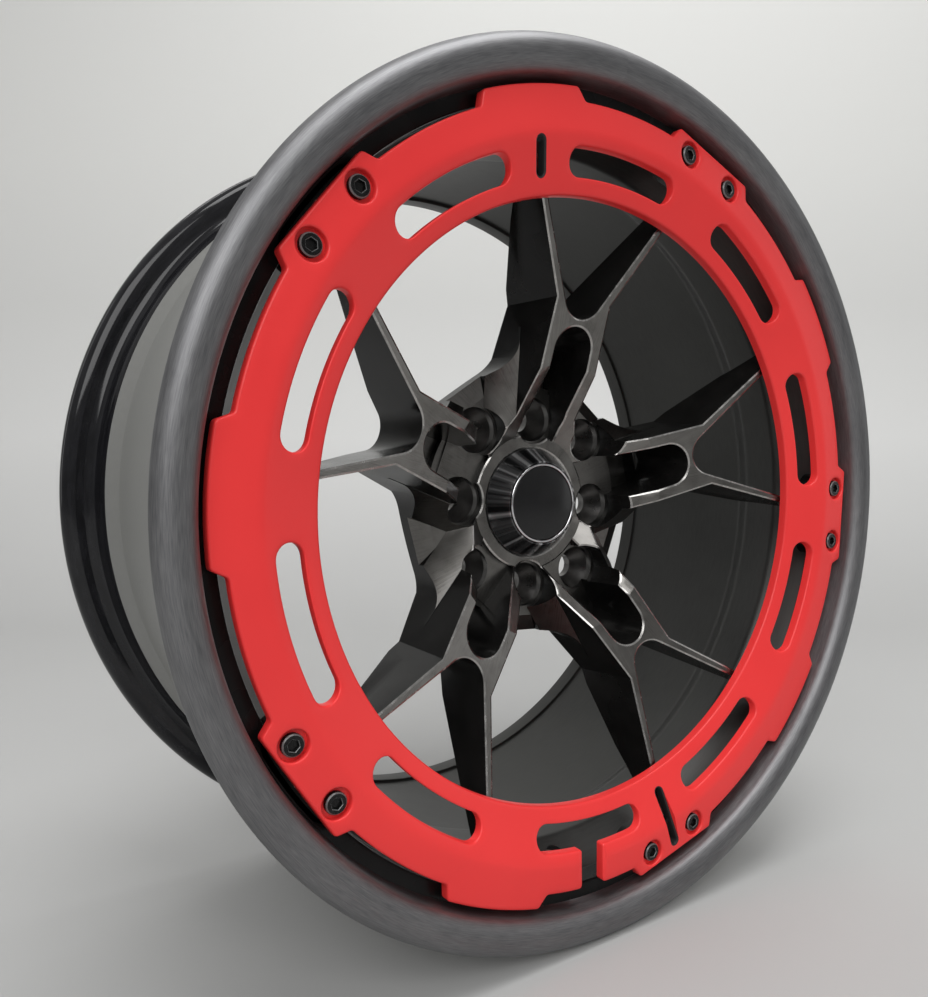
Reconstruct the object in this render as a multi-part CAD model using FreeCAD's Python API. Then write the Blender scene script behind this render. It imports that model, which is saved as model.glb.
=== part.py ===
"""Wheel rim: a cast wheel with five Y spokes, a screwed-on face ring and a centre cap.

Sizes are in millimetres. The wheel's axis lies along Y, its outboard face looks to -Y and +Z is up.
The origin is the centre of the hub's mounting face. A depth is measured along the axis from the front
lip's widest circle towards the back, and an angle from +X, counter-clockwise as seen from the front.
"""
import math
import os

import FreeCAD
import Part

# Rim, after the usual J contour
BEAD_SEAT_R = 218.3
FLANGE_HEIGHT = 17.3
FLANGE_EDGE_R = 7.5
FLANGE_ROOT_R = 6.5
RIM_WIDTH = 190.5
WHEEL_OFFSET = 5.0
BEAD_SEAT_W = 20.0
BEAD_TAPER = 1.3
BARREL_DROP = 5.6
BARREL_RAMP = 11.6
BARREL_WALL = 6.0
WELL_DROP = 17.8
WELL_W = 24.0
WELL_SLOPE_FRONT = 18.5
WELL_SLOPE_BACK = 16.0
BACK_EDGE = 4.0
BACK_BAND = 13.0
BACK_BAND_STEP = 2.0

# Front lip and the recess that the face ring sits in
LIP_BULGE = 6.2
LIP_BAND = 18.4
LIP_FACETS = 4
RECESS_TAPER = 1.2
LEDGE_DEPTH = 11.0
LEDGE_W = 8.0
FRONT_WALL = 14.0

# Face ring
RING_CLEARANCE = 2.6
RING_FRONT = 2.4
RING_THICK = 5.6
RING_OUTER_BAND = 22.0
RING_INNER_BAND = 28.4
RING_DISH = 9.6
TAB_COUNT = 10
TAB_PITCH = 360.0 / TAB_COUNT
TAB_HALF_ANGLE = 8.0
TAB_HEIGHT = 7.0
SHOULDER_ANGLE = 1.2
TAB_ROUND = 2.5
SLOT_W = 14.2
SLOT_BAND = 8.5
SLOT_HALF_ANGLE = 12.0
VALVE_GAP_W = 15.0
GROOVE_W = 4.4
GROOVE_MARGIN = 9.0
GROOVE_CREASE_GAP = 2.0

# Ring screws, in pairs
PAIR_COUNT = 5
PAIR_HALF_ANGLE = 5.0
SCREW_EDGE = 10.3
SCREW_R = 3.0
SCREW_CLEARANCE = 0.2
SCREW_GRIP = 12.0
SCREW_TIP_GAP = 1.0
HEAD_R = 5.2
HEAD_HEIGHT = 3.0
HEAD_SINK = 0.5
SOCKET_FLATS = 5.0
SOCKET_DEPTH = 1.8
COUNTERBORE_R = 7.2
PAD_MARGIN = 4.4

# Spokes: a trunk of two ribs round a pocket, which parts into two arms
SPOKE_COUNT = 5
SPOKE_PITCH = 360.0 / SPOKE_COUNT
TRUNK_HALF_W = 20.0
CROTCH_RADIUS = 104.6
BEND_RISE = 9.4
ARM_SPREAD = 0.575
CROTCH_FILLET = 13.5
CROTCH_SPREAD = 0.571
OUTER_DRAFT = 0.08
INNER_DRAFT = 0.03
DRAFT_DEPTH = 40.0
FACE_CREASE_RADIUS = 78.5
FACE_CREASE_RISE = 29.7
ARM_SEAT_IN = 15.0
SPOKE_BACK_RADIUS = 125.0
SPOKE_BACK_RISE = 20.0
ARM_BACK_IN = 18.0
ARM_THICK = 15.0
CROTCH_WEB = 4.1
POCKET_END_R = 13.0
POCKET_HUB_HALF_W = 15.2
POCKET_SINK = 6.0
POCKET_DRAFT = 0.03
SCOOP_R = 20.0
SCOOP_SINK = 2.4
SCOOP_SHARE = 0.55
FOOT_RISE = 15.0
FOOT_REACH = 13.0

# Hub
HUB_LENGTH = 23.75
HUB_RING_R = 40.5
PLATE_INRADIUS = 79.0
PLATE_DROP = 4.0
PLATE_THICK = 14.0
PLATE_FILLET = 22.0
PLATE_CHAMFER = 10.0
PLATE_CHAMFER_DROP = 5.0
STEP_RADIUS = 66.0
HUB_PAD_R = 70.0
HUB_PAD_CHAMFER = 3.0
CENTRE_BORE_R = 36.55
CENTRE_BORE_DEPTH = 10.0
BORE_CHAMFER = 1.5
BOLT_CIRCLES_R = (50.0, 57.15)
BOLTS_PER_CIRCLE = 4
LUG_ACCESS_R = 14.6
LUG_MOUTH_R = 13.3
LUG_MOUTH_DEPTH = 4.0
LUG_R = 7.25
SEAT_SLOPE = math.tan(math.radians(60.0))
VALVE_HOLE_R = 5.75

# Centre cap
CAP_BORE_R = 29.5
CAP_SEAT_R = 32.6
CAP_SEAT_DEPTH = 2.0
CAP_CLEARANCE = 0.25
CAP_HEIGHT = 11.5
CAP_TOP_R = 24.6
CAP_WALL = 2.4
CAP_RIM = 0.8
CAP_TAIL_GAP = 1.0
BEZEL_W = 1.8
BEZEL_PROUD = 0.8
CAP_RECESS = 2.2
DISC_DOME = 1.2
DISC_CROWN_R = 12.0

# Clocking, as the wheel stands: one spoke nearly straight up, the valve hole opposite it
CLOCK = -3.25
SPOKE_ANGLE = 90.0 + CLOCK
VALVE_ANGLE = SPOKE_ANGLE + 180.0
PAIR_ANGLE = SPOKE_ANGLE - TAB_PITCH / 2
SHORT_GROOVE_ANGLE = SPOKE_ANGLE + TAB_PITCH / 2
LONG_GROOVE_ANGLE = PAIR_ANGLE + 3 * SPOKE_PITCH

# Sizes that follow
LIP_R = BEAD_SEAT_R + FLANGE_HEIGHT
RIM_DEPTH = RIM_WIDTH + 2 * FLANGE_EDGE_R
MOUNT_DEPTH = RIM_DEPTH / 2 - WHEEL_OFFSET
RECESS_R = LIP_R - LIP_BAND - RECESS_TAPER
WALL_R = RECESS_R - LEDGE_W
WELL_R = BEAD_SEAT_R - WELL_DROP
BARREL_R = BEAD_SEAT_R - BARREL_DROP
TAB_R = RECESS_R - RING_CLEARANCE
NOTCH_R = TAB_R - TAB_HEIGHT
RING_CREASE_R = TAB_R - RING_OUTER_BAND
RING_INNER_R = RING_CREASE_R - RING_INNER_BAND
RING_BACK = RING_FRONT + RING_THICK
SLOT_R = RING_INNER_R + SLOT_BAND + SLOT_W / 2
SCREW_CIRCLE_R = TAB_R - SCREW_EDGE
COUNTERBORE_FLOOR = RING_FRONT + HEAD_SINK + HEAD_HEIGHT
BORE_STEP_DEPTH = MOUNT_DEPTH - CENTRE_BORE_DEPTH
HUB_FACE_DEPTH = MOUNT_DEPTH - HUB_LENGTH
PLATE_DEPTH = HUB_FACE_DEPTH + PLATE_DROP
PLATE_BACK_DEPTH = PLATE_DEPTH + PLATE_THICK
BEND_RADIUS = CROTCH_RADIUS + BEND_RISE
FACE_CREASE_DEPTH = HUB_FACE_DEPTH - FACE_CREASE_RISE
SPOKE_BACK_DEPTH = PLATE_BACK_DEPTH - SPOKE_BACK_RISE
ARM_SEAT_RADIUS = WALL_R - ARM_SEAT_IN
ARM_BACK_RADIUS = WALL_R - ARM_BACK_IN
ARM_BACK_DEPTH = LEDGE_DEPTH + ARM_THICK
POCKET_END = CROTCH_RADIUS - CROTCH_WEB
POCKET_FLOOR = PLATE_DEPTH + POCKET_SINK
CAP_SEAT = HUB_FACE_DEPTH + CAP_SEAT_DEPTH
CAP_TOP_DEPTH = HUB_FACE_DEPTH - CAP_HEIGHT
CAP_FLOOR_DEPTH = CAP_TOP_DEPTH + CAP_RECESS
BEZEL_SEAT_R = CAP_TOP_R - CAP_RIM
AXIS = FreeCAD.Vector(0, 1, 0)
CENTRE = FreeCAD.Vector(0, 0, 0)
BEYOND = 40.0
FAR_FRONT = -BEYOND
FAR_BACK = RIM_DEPTH + BEYOND
FUSE_OVERLAP = 1.0


def point(across, depth, up):
    return FreeCAD.Vector(across, depth - MOUNT_DEPTH, up)


def polar(radius, angle, depth=0.0):
    turn = math.radians(angle)
    return point(radius * math.cos(turn), depth, radius * math.sin(turn))


def outline(steps):
    """Closed wire through the steps; a step of two points is an arc by the first to the second."""
    edges = []
    here = steps[0]
    for step in steps[1:] + steps[:1]:
        if isinstance(step, tuple):
            edges.append(Part.Arc(here, step[0], step[1]).toShape())
            here = step[1]
        elif here.distanceToPoint(step) > 1e-6:
            edges.append(Part.makeLine(here, step))
            here = step
    return Part.Wire(edges)


def turned(corners):
    """Solid turned about the axis from corners given as radius and depth."""
    polygon = [point(radius, depth, 0) for radius, depth in corners]
    return Part.Face(Part.makePolygon(polygon + polygon[:1])).revolve(CENTRE, AXIS, 360)


def extruded(wire, depth_length):
    return Part.Face(wire).extrude(AXIS * depth_length)


def cylinder(radius, start, end):
    return Part.makeCylinder(radius, end - start, point(0, start, 0), AXIS)


def frustum(front, back):
    """Solid between two parallel polygons with the same number of corners."""
    count = len(front)
    walls = [front + front[:1], back + back[:1]]
    for i in range(count):
        j = (i + 1) % count
        walls.append([front[i], front[j], back[j], back[i], front[i]])
    shell = Part.makeShell([Part.Face(Part.makePolygon(wall)) for wall in walls])
    shell.fix(1e-4, 1e-4, 1e-4)
    solid = Part.makeSolid(shell)
    if solid.Volume < 0:
        solid.reverse()
    return solid


def tapered_post(front_r, back_r, start, end, up):
    return Part.makeCone(front_r, back_r, end - start, point(0, start, up), AXIS)


def clocked(shape, angle):
    """Copy of a shape that points up, turned to the angle as seen from the front."""
    copy = shape.copy()
    copy.rotate(CENTRE, AXIS, 90.0 - angle)
    return copy


def round_pattern(shape, count, first_angle):
    return [clocked(shape, first_angle + i * 360.0 / count) for i in range(count)]


def arc_slot(radius, half_width, half_angle, start, depth_length):
    """Slot along a circle with round ends, about the upward direction."""
    tip = math.degrees(half_width / radius)
    side = half_angle - tip
    outer = radius + half_width
    inner = radius - half_width
    steps = [
        polar(outer, 90 - side, start),
        (polar(outer, 90, start), polar(outer, 90 + side, start)),
        (polar(radius, 90 + side + tip, start), polar(inner, 90 + side, start)),
        (polar(inner, 90, start), polar(inner, 90 - side, start)),
        (polar(radius, 90 - side - tip, start), polar(outer, 90 - side, start)),
    ]
    return extruded(outline(steps), depth_length)


def face_depth(radius):
    """Depth of the spokes' front face outside the crease."""
    run = ARM_SEAT_RADIUS - FACE_CREASE_RADIUS
    slope = (FACE_CREASE_DEPTH - LEDGE_DEPTH) / run
    return FACE_CREASE_DEPTH - slope * (radius - FACE_CREASE_RADIUS)


def back_depth(radius):
    """Depth of the spokes' back along a straight line from the plate to the rim."""
    share = (radius - PLATE_INRADIUS) / (ARM_BACK_RADIUS - PLATE_INRADIUS)
    return PLATE_BACK_DEPTH + share * (ARM_BACK_DEPTH - PLATE_BACK_DEPTH)


def bead(centre_depth, side):
    """Tyre side of a flange from its widest circle to the foot of the bead seat; side is 1 or -1."""
    half = math.sqrt(0.5) * FLANGE_EDGE_R
    flat = centre_depth + side * FLANGE_EDGE_R
    return [
        (LIP_R, centre_depth),
        (LIP_R - FLANGE_EDGE_R + half, centre_depth + side * half),
        (BEAD_SEAT_R + FLANGE_ROOT_R, flat),
        (BEAD_SEAT_R, flat + side * FLANGE_ROOT_R),
        (BEAD_SEAT_R - BEAD_TAPER, flat + side * BEAD_SEAT_W),
    ]


def lip_bulge():
    """Corners of the round bulge of the front lip between its two edges."""
    half = LIP_BAND / 2
    radius = (half ** 2 + LIP_BULGE ** 2) / (2 * LIP_BULGE)
    half_turn = math.asin(half / radius)
    turns = [half_turn * (2 * i / LIP_FACETS - 1) for i in range(1, LIP_FACETS)]
    return [(LIP_R - half + radius * math.sin(t), radius * (1 - math.cos(t)) - LIP_BULGE) for t in turns]


def rim():
    """Barrel, lip, bead seats and back flange in one turned section."""
    well_start = FLANGE_EDGE_R + BEAD_SEAT_W + WELL_SLOPE_FRONT
    well_end = well_start + WELL_W
    barrel_start = well_end + WELL_SLOPE_BACK
    barrel_end = RIM_DEPTH - FLANGE_EDGE_R - BEAD_SEAT_W - BARREL_RAMP
    inner_well = WELL_R - BARREL_WALL
    inner_barrel = BARREL_R - BARREL_WALL
    band_r = inner_barrel - BACK_BAND_STEP
    back_face = RIM_DEPTH + BACK_EDGE
    band_start = back_face - BACK_BAND
    corners = [(WALL_R, LEDGE_DEPTH), (RECESS_R, LEDGE_DEPTH), (LIP_R - LIP_BAND, 0.0)]
    corners += lip_bulge() + bead(0.0, 1)
    corners += [(WELL_R, well_start), (WELL_R, well_end), (BARREL_R, barrel_start), (BARREL_R, barrel_end)]
    corners += bead(RIM_DEPTH, -1)[::-1]
    corners += [
        (LIP_R - BACK_EDGE, back_face),
        (band_r, back_face),
        (band_r, band_start),
        (inner_barrel, band_start),
        (inner_barrel, barrel_start),
        (inner_well, well_end),
        (inner_well, well_start),
        (WALL_R, LEDGE_DEPTH + FRONT_WALL),
    ]
    return turned(corners)


def screw_pads():
    """Raised pads behind the face ring, one for each pair of screws."""
    half_width = HEAD_R + PAD_MARGIN
    tip = math.degrees(half_width / SCREW_CIRCLE_R)
    length = LEDGE_DEPTH + FRONT_WALL - RING_BACK
    pad = arc_slot(SCREW_CIRCLE_R, half_width, PAIR_HALF_ANGLE + tip, RING_BACK, length)
    return round_pattern(pad, PAIR_COUNT, PAIR_ANGLE)


def trunk_half_width(depth):
    return TRUNK_HALF_W + OUTER_DRAFT * (depth - DRAFT_DEPTH)


def arm_edge(up, depth):
    """Outer edge of the spoke at a height above the axis."""
    return trunk_half_width(depth) + ARM_SPREAD * max(up - BEND_RADIUS, 0.0)


def spoke_corners(depth):
    """Outside of the whole Y, pointing up."""
    top = LIP_R
    bottom = HUB_RING_R / 2
    right = [(arm_edge(up, depth), up) for up in (bottom, BEND_RADIUS, top)]
    left = [(-across, up) for across, up in reversed(right)]
    return [point(across, depth, up) for across, up in right + left]


def crotch_radius(depth):
    return CROTCH_FILLET - INNER_DRAFT * (depth - DRAFT_DEPTH)


def crotch_corners(depth):
    """Opening between the two arms, above its round foot."""
    lean = math.atan(CROTCH_SPREAD)
    radius = crotch_radius(depth)
    side_x = radius * math.cos(lean)
    side_up = CROTCH_RADIUS + CROTCH_FILLET - radius * math.sin(lean)
    top_x = side_x + CROTCH_SPREAD * (LIP_R - side_up)
    right = [(side_x, side_up), (top_x, LIP_R)]
    left = [(-across, up) for across, up in reversed(right)]
    return [point(across, depth, up) for across, up in right + left]


def crotch():
    foot = tapered_post(crotch_radius(FAR_FRONT), crotch_radius(FAR_BACK), FAR_FRONT, FAR_BACK,
                        CROTCH_RADIUS + CROTCH_FILLET)
    return frustum(crotch_corners(FAR_FRONT), crotch_corners(FAR_BACK)).fuse(foot)


def pocket_end_radius(depth):
    return POCKET_END_R - POCKET_DRAFT * (depth - DRAFT_DEPTH)


def pocket_corners(depth, foot):
    """Pocket between the two ribs of the trunk, below its round end."""
    end_r = pocket_end_radius(depth)
    end_up = POCKET_END - POCKET_END_R
    spread = (POCKET_HUB_HALF_W - POCKET_END_R) / (end_up - HUB_RING_R)
    foot_x = end_r + spread * (end_up - foot)
    right = [(foot_x, foot), (end_r, end_up)]
    left = [(-across, up) for across, up in reversed(right)]
    return [point(across, depth, up) for across, up in right + left]


def side_scoop(side):
    """Shallow scoop along the outer wall of one arm, on the right (1) or left (-1)."""
    def axis_point(up, sink):
        depth = face_depth(up) + SCOOP_SHARE * (back_depth(up) - face_depth(up))
        across = arm_edge(up, depth) + (SCOOP_R - sink) * math.hypot(1.0, ARM_SPREAD)
        return point(side * across, depth, up)

    start = axis_point(BEND_RADIUS, 0.0)
    run = axis_point(WALL_R, SCOOP_SINK) - start
    return Part.makeCylinder(SCOOP_R, run.Length, start, run)


def spoke_envelope():
    """All that lies between the front faces and the backs of the spokes."""
    hub_start = HUB_RING_R / 4
    arm_end = (WALL_R + RECESS_R) / 2
    return turned([
        (hub_start, HUB_FACE_DEPTH),
        (HUB_RING_R, HUB_FACE_DEPTH),
        (FACE_CREASE_RADIUS, FACE_CREASE_DEPTH),
        (ARM_SEAT_RADIUS, LEDGE_DEPTH),
        (arm_end, LEDGE_DEPTH),
        (arm_end, LEDGE_DEPTH + FRONT_WALL),
        (ARM_BACK_RADIUS, ARM_BACK_DEPTH),
        (SPOKE_BACK_RADIUS, SPOKE_BACK_DEPTH),
        (PLATE_INRADIUS, PLATE_BACK_DEPTH),
        (hub_start, PLATE_BACK_DEPTH),
    ])


def spoke():
    """One Y spoke, pointing up, without its pocket."""
    body = frustum(spoke_corners(FAR_FRONT), spoke_corners(FAR_BACK)).common(spoke_envelope())
    for tool in (crotch(), side_scoop(1), side_scoop(-1)):
        body = body.cut(tool)
    return body


def pocket():
    """Deep pocket of one spoke and the shallower step in front of the hub."""
    end_up = POCKET_END - POCKET_END_R
    deep = frustum(pocket_corners(FAR_FRONT, STEP_RADIUS), pocket_corners(POCKET_FLOOR, STEP_RADIUS))
    end = tapered_post(pocket_end_radius(FAR_FRONT), pocket_end_radius(POCKET_FLOOR),
                       FAR_FRONT, POCKET_FLOOR, end_up)
    foot = HUB_RING_R / 2
    step = frustum(pocket_corners(FAR_FRONT, foot), pocket_corners(PLATE_DEPTH, foot))
    return deep.multiFuse([end, step])


def hub_plate():
    """Five-sided plate between the spokes, with hollow corners, sloping facets and the trunks' feet."""
    inside_spoke = POCKET_END
    half = trunk_half_width(PLATE_DEPTH) - FUSE_OVERLAP
    pitch = math.radians(SPOKE_PITCH)
    corner_up = (PLATE_INRADIUS - half * math.sin(pitch / 2)) / math.cos(pitch / 2)
    bend = math.pi / 2 - pitch / 2
    tangent = PLATE_FILLET / math.tan((math.pi - bend) / 2)
    toward_edge = (math.cos(pitch / 2), -math.sin(pitch / 2))
    middle = PLATE_FILLET / math.cos(bend / 2) - PLATE_FILLET
    mid_x = half + middle * math.cos(bend / 2)
    mid_up = corner_up + middle * math.sin(bend / 2)
    high = corner_up + tangent
    edge_x = half + tangent * toward_edge[0]
    edge_up = corner_up + tangent * toward_edge[1]
    foot_depth = PLATE_DEPTH - FOOT_RISE
    steps = []
    for i in range(SPOKE_COUNT):
        def turn(across, up):
            angle = math.degrees(math.atan2(up, across)) - i * SPOKE_PITCH + SPOKE_ANGLE - 90.0
            return polar(math.hypot(across, up), angle, foot_depth)
        steps.append(turn(-edge_x, edge_up))
        steps.append((turn(-mid_x, mid_up), turn(-half, high)))
        steps += [turn(-half, inside_spoke), turn(half, inside_spoke), turn(half, high)]
        steps.append((turn(mid_x, mid_up), turn(edge_x, edge_up)))
    block = extruded(outline(steps), PLATE_BACK_DEPTH - foot_depth)
    plate = block.common(cylinder(LIP_R, PLATE_DEPTH, PLATE_BACK_DEPTH))
    low = PLATE_INRADIUS - PLATE_CHAMFER
    run = 2 * PLATE_CHAMFER
    drop = PLATE_CHAMFER_DROP * run / PLATE_CHAMFER
    facet = Part.Face(Part.makePolygon([
        point(-PLATE_INRADIUS, PLATE_DEPTH, low),
        point(-PLATE_INRADIUS, PLATE_DEPTH - FUSE_OVERLAP, low),
        point(-PLATE_INRADIUS, PLATE_DEPTH - FUSE_OVERLAP, low + run),
        point(-PLATE_INRADIUS, PLATE_DEPTH + drop, low + run),
        point(-PLATE_INRADIUS, PLATE_DEPTH, low),
    ])).extrude(FreeCAD.Vector(2 * PLATE_INRADIUS, 0, 0))
    plate = plate.cut(round_pattern(facet, SPOKE_COUNT, SPOKE_ANGLE + SPOKE_PITCH / 2))
    foot = Part.Face(Part.makePolygon([
        point(-half - FOOT_REACH, PLATE_DEPTH, HUB_RING_R / 2),
        point(-half, foot_depth, HUB_RING_R / 2),
        point(half, foot_depth, HUB_RING_R / 2),
        point(half + FOOT_REACH, PLATE_DEPTH, HUB_RING_R / 2),
        point(half + FOOT_REACH, PLATE_BACK_DEPTH, HUB_RING_R / 2),
        point(-half - FOOT_REACH, PLATE_BACK_DEPTH, HUB_RING_R / 2),
        point(-half - FOOT_REACH, PLATE_DEPTH, HUB_RING_R / 2),
    ])).extrude(FreeCAD.Vector(0, 0, inside_spoke - HUB_RING_R / 2))
    feet = [block.common(each) for each in round_pattern(foot, SPOKE_COUNT, SPOKE_ANGLE)]
    return plate.multiFuse(feet).common(spoke_envelope())


def hub_core():
    """Ring round the cap and the thick pad behind the plate."""
    return turned([
        (0, HUB_FACE_DEPTH),
        (HUB_RING_R, HUB_FACE_DEPTH),
        (HUB_RING_R, PLATE_DEPTH + FUSE_OVERLAP),
        (HUB_PAD_R, PLATE_DEPTH + FUSE_OVERLAP),
        (HUB_PAD_R, MOUNT_DEPTH - HUB_PAD_CHAMFER),
        (HUB_PAD_R - HUB_PAD_CHAMFER, MOUNT_DEPTH),
        (0, MOUNT_DEPTH),
    ])


def hub_bores():
    """Cap seat and bore from the front, hub bore from the back."""
    return turned([
        (0, FAR_FRONT),
        (CAP_SEAT_R, FAR_FRONT),
        (CAP_SEAT_R, CAP_SEAT),
        (CAP_BORE_R, CAP_SEAT),
        (CAP_BORE_R, BORE_STEP_DEPTH),
        (CENTRE_BORE_R, BORE_STEP_DEPTH),
        (CENTRE_BORE_R, MOUNT_DEPTH - BORE_CHAMFER),
        (CENTRE_BORE_R + BORE_CHAMFER, MOUNT_DEPTH),
        (CENTRE_BORE_R + BORE_CHAMFER, FAR_BACK),
        (0, FAR_BACK),
    ])


def lug_hole():
    """Socket access, mouth, conical nut seat and bolt hole, on the axis."""
    mouth_end = PLATE_DEPTH + LUG_MOUTH_DEPTH
    return turned([
        (0, FAR_FRONT),
        (LUG_ACCESS_R, FAR_FRONT),
        (LUG_ACCESS_R, PLATE_DEPTH),
        (LUG_MOUTH_R, PLATE_DEPTH),
        (LUG_MOUTH_R, mouth_end),
        (LUG_R, mouth_end + (LUG_MOUTH_R - LUG_R) * SEAT_SLOPE),
        (LUG_R, FAR_BACK),
        (0, FAR_BACK),
    ])


def lug_holes():
    """Two bolt circles, their holes taking turns round the hub."""
    holes = []
    step = 360.0 / BOLTS_PER_CIRCLE
    for k, circle_r in enumerate(BOLT_CIRCLES_R):
        hole = lug_hole()
        hole.translate(FreeCAD.Vector(0, 0, circle_r))
        first = SPOKE_ANGLE + k * step / len(BOLT_CIRCLES_R)
        holes += round_pattern(hole, BOLTS_PER_CIRCLE, first)
    return holes


def valve_hole():
    """Slanting hole through the front slope of the well."""
    well_start = FLANGE_EDGE_R + BEAD_SEAT_W + WELL_SLOPE_FRONT
    slope_mid = (LEDGE_DEPTH + FRONT_WALL + well_start) / 2
    reach = 2 * LEDGE_W
    way = FreeCAD.Vector(0, 1, 1)
    middle = point(0, slope_mid, (WALL_R + WELL_R - BARREL_WALL) / 2)
    start = middle - way.normalize() * reach
    return clocked(Part.makeCylinder(VALVE_HOLE_R, 3 * reach, start, way), VALVE_ANGLE)


def screw_angles():
    pitch = 360.0 / PAIR_COUNT
    pairs = [PAIR_ANGLE + i * pitch for i in range(PAIR_COUNT)]
    return [pair + side * PAIR_HALF_ANGLE for pair in pairs for side in (-1, 1)]


def at_screws(shape):
    """Copies of a shape on the axis, moved to every screw."""
    moved = shape.copy()
    moved.translate(FreeCAD.Vector(0, 0, SCREW_CIRCLE_R))
    return [clocked(moved, angle) for angle in screw_angles()]


def wheel():
    spokes = round_pattern(spoke(), SPOKE_COUNT, SPOKE_ANGLE)
    body = hub_plate().multiFuse(spokes)
    body = body.cut(round_pattern(pocket(), SPOKE_COUNT, SPOKE_ANGLE))
    body = body.fuse(hub_core())
    body = body.multiFuse([rim()] + screw_pads())
    tapped = cylinder(SCREW_R + SCREW_CLEARANCE, FAR_FRONT, COUNTERBORE_FLOOR + SCREW_GRIP + SCREW_TIP_GAP)
    body = body.cut(lug_holes() + [hub_bores(), valve_hole()] + at_screws(tapped))
    return body.removeSplitter()


def rounded_corner(before, corner, after):
    """Steps of an outline that round one corner between its neighbours."""
    back = (before - corner).normalize()
    onward = (after - corner).normalize()
    half_turn = back.getAngle(onward) / 2
    reach = TAB_ROUND / math.tan(half_turn)
    inward = (back + onward).normalize() * (TAB_ROUND / math.sin(half_turn) - TAB_ROUND)
    return [corner + back * reach, (corner + inward, corner + onward * reach)]


def ring_outline():
    """Outer edge of the face ring: ten tabs with rounded shoulders, the ones with screws cut straight."""
    low = TAB_HALF_ANGLE + SHOULDER_ANGLE

    def on_tab(angle):
        return polar(TAB_R, angle, FAR_FRONT)

    def on_notch(angle):
        return polar(NOTCH_R, angle, FAR_FRONT)

    steps = []
    for i in range(TAB_COUNT):
        middle = PAIR_ANGLE + i * TAB_PITCH
        has_screws = i % (TAB_COUNT // PAIR_COUNT) == 0
        foot, top = on_notch(middle - low), on_tab(middle - TAB_HALF_ANGLE)
        end, end_foot = on_tab(middle + TAB_HALF_ANGLE), on_notch(middle + low)
        after_top = end if has_screws else on_tab(middle - TAB_HALF_ANGLE + SHOULDER_ANGLE)
        before_end = top if has_screws else on_tab(middle + TAB_HALF_ANGLE - SHOULDER_ANGLE)
        first = rounded_corner(on_notch(middle - low - SHOULDER_ANGLE), foot, top)
        if steps:
            steps.append((on_notch(middle - TAB_PITCH / 2), first[0]))
        steps += first[len(steps) > 0:]
        steps += rounded_corner(foot, top, after_top)
        last = rounded_corner(before_end, end, end_foot)
        steps.append(last[0] if has_screws else (on_tab(middle), last[0]))
        steps.append(last[1])
        steps += rounded_corner(end, end_foot, on_notch(middle + low + SHOULDER_ANGLE))
    steps.append((on_notch(PAIR_ANGLE - TAB_PITCH / 2), steps[0]))
    return outline(steps)


def ring_section():
    """Flat outer band with the screws, and an inner band that slopes in towards the hub."""
    outside = TAB_R + RING_CLEARANCE
    lean = math.atan(RING_DISH / (RING_CREASE_R - RING_INNER_R))
    inner_back = RING_FRONT + RING_DISH + RING_THICK / math.cos(lean)
    crease_back = RING_CREASE_R - RING_THICK * math.tan(lean / 2)
    return turned([
        (RING_INNER_R, RING_FRONT + RING_DISH),
        (RING_CREASE_R, RING_FRONT),
        (outside, RING_FRONT),
        (outside, RING_BACK),
        (crease_back, RING_BACK),
        (RING_INNER_R, inner_back),
    ])


def radial_groove(inner, outer):
    """Narrow slot through the ring, pointing up."""
    half = GROOVE_W / 2
    low = inner + half
    high = outer - half
    return extruded(outline([
        point(half, FAR_FRONT, low),
        point(half, FAR_FRONT, high),
        (point(0, FAR_FRONT, outer), point(-half, FAR_FRONT, high)),
        point(-half, FAR_FRONT, low),
        (point(0, FAR_FRONT, inner), point(half, FAR_FRONT, low)),
    ]), FAR_BACK - FAR_FRONT)


def valve_gap():
    """Gap from the slot out through the ring's edge, its mouth rounded, pointing up."""
    half = VALVE_GAP_W / 2
    wide = half + TAB_ROUND
    low = NOTCH_R - TAB_ROUND
    turn_x = wide - TAB_ROUND * math.sqrt(0.5)
    turn_up = low + TAB_ROUND * math.sqrt(0.5)
    right = [point(half, FAR_FRONT, SLOT_R), point(half, FAR_FRONT, low),
             (point(turn_x, FAR_FRONT, turn_up), point(wide, FAR_FRONT, NOTCH_R))]
    left = [point(-wide, FAR_FRONT, NOTCH_R),
            (point(-turn_x, FAR_FRONT, turn_up), point(-half, FAR_FRONT, low)), point(-half, FAR_FRONT, SLOT_R)]
    return extruded(outline(right + [point(wide, FAR_FRONT, LIP_R), point(-wide, FAR_FRONT, LIP_R)] + left),
                    FAR_BACK - FAR_FRONT)


def face_ring():
    ring = ring_section().common(extruded(ring_outline(), FAR_BACK - FAR_FRONT))
    through = FAR_BACK - FAR_FRONT
    slot = arc_slot(SLOT_R, SLOT_W / 2, SLOT_HALF_ANGLE, FAR_FRONT, through)
    tools = round_pattern(slot, TAB_COUNT, SPOKE_ANGLE)
    tools.append(clocked(valve_gap(), VALVE_ANGLE))
    groove_foot = RING_INNER_R + GROOVE_MARGIN
    tools.append(clocked(radial_groove(groove_foot, RING_CREASE_R - GROOVE_CREASE_GAP), SHORT_GROOVE_ANGLE))
    tools.append(clocked(radial_groove(groove_foot, NOTCH_R), LONG_GROOVE_ANGLE))
    tools += at_screws(cylinder(SCREW_R + SCREW_CLEARANCE, FAR_FRONT, FAR_BACK))
    tools += at_screws(cylinder(COUNTERBORE_R, FAR_FRONT, COUNTERBORE_FLOOR))
    return ring.cut(tools).removeSplitter()


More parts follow.
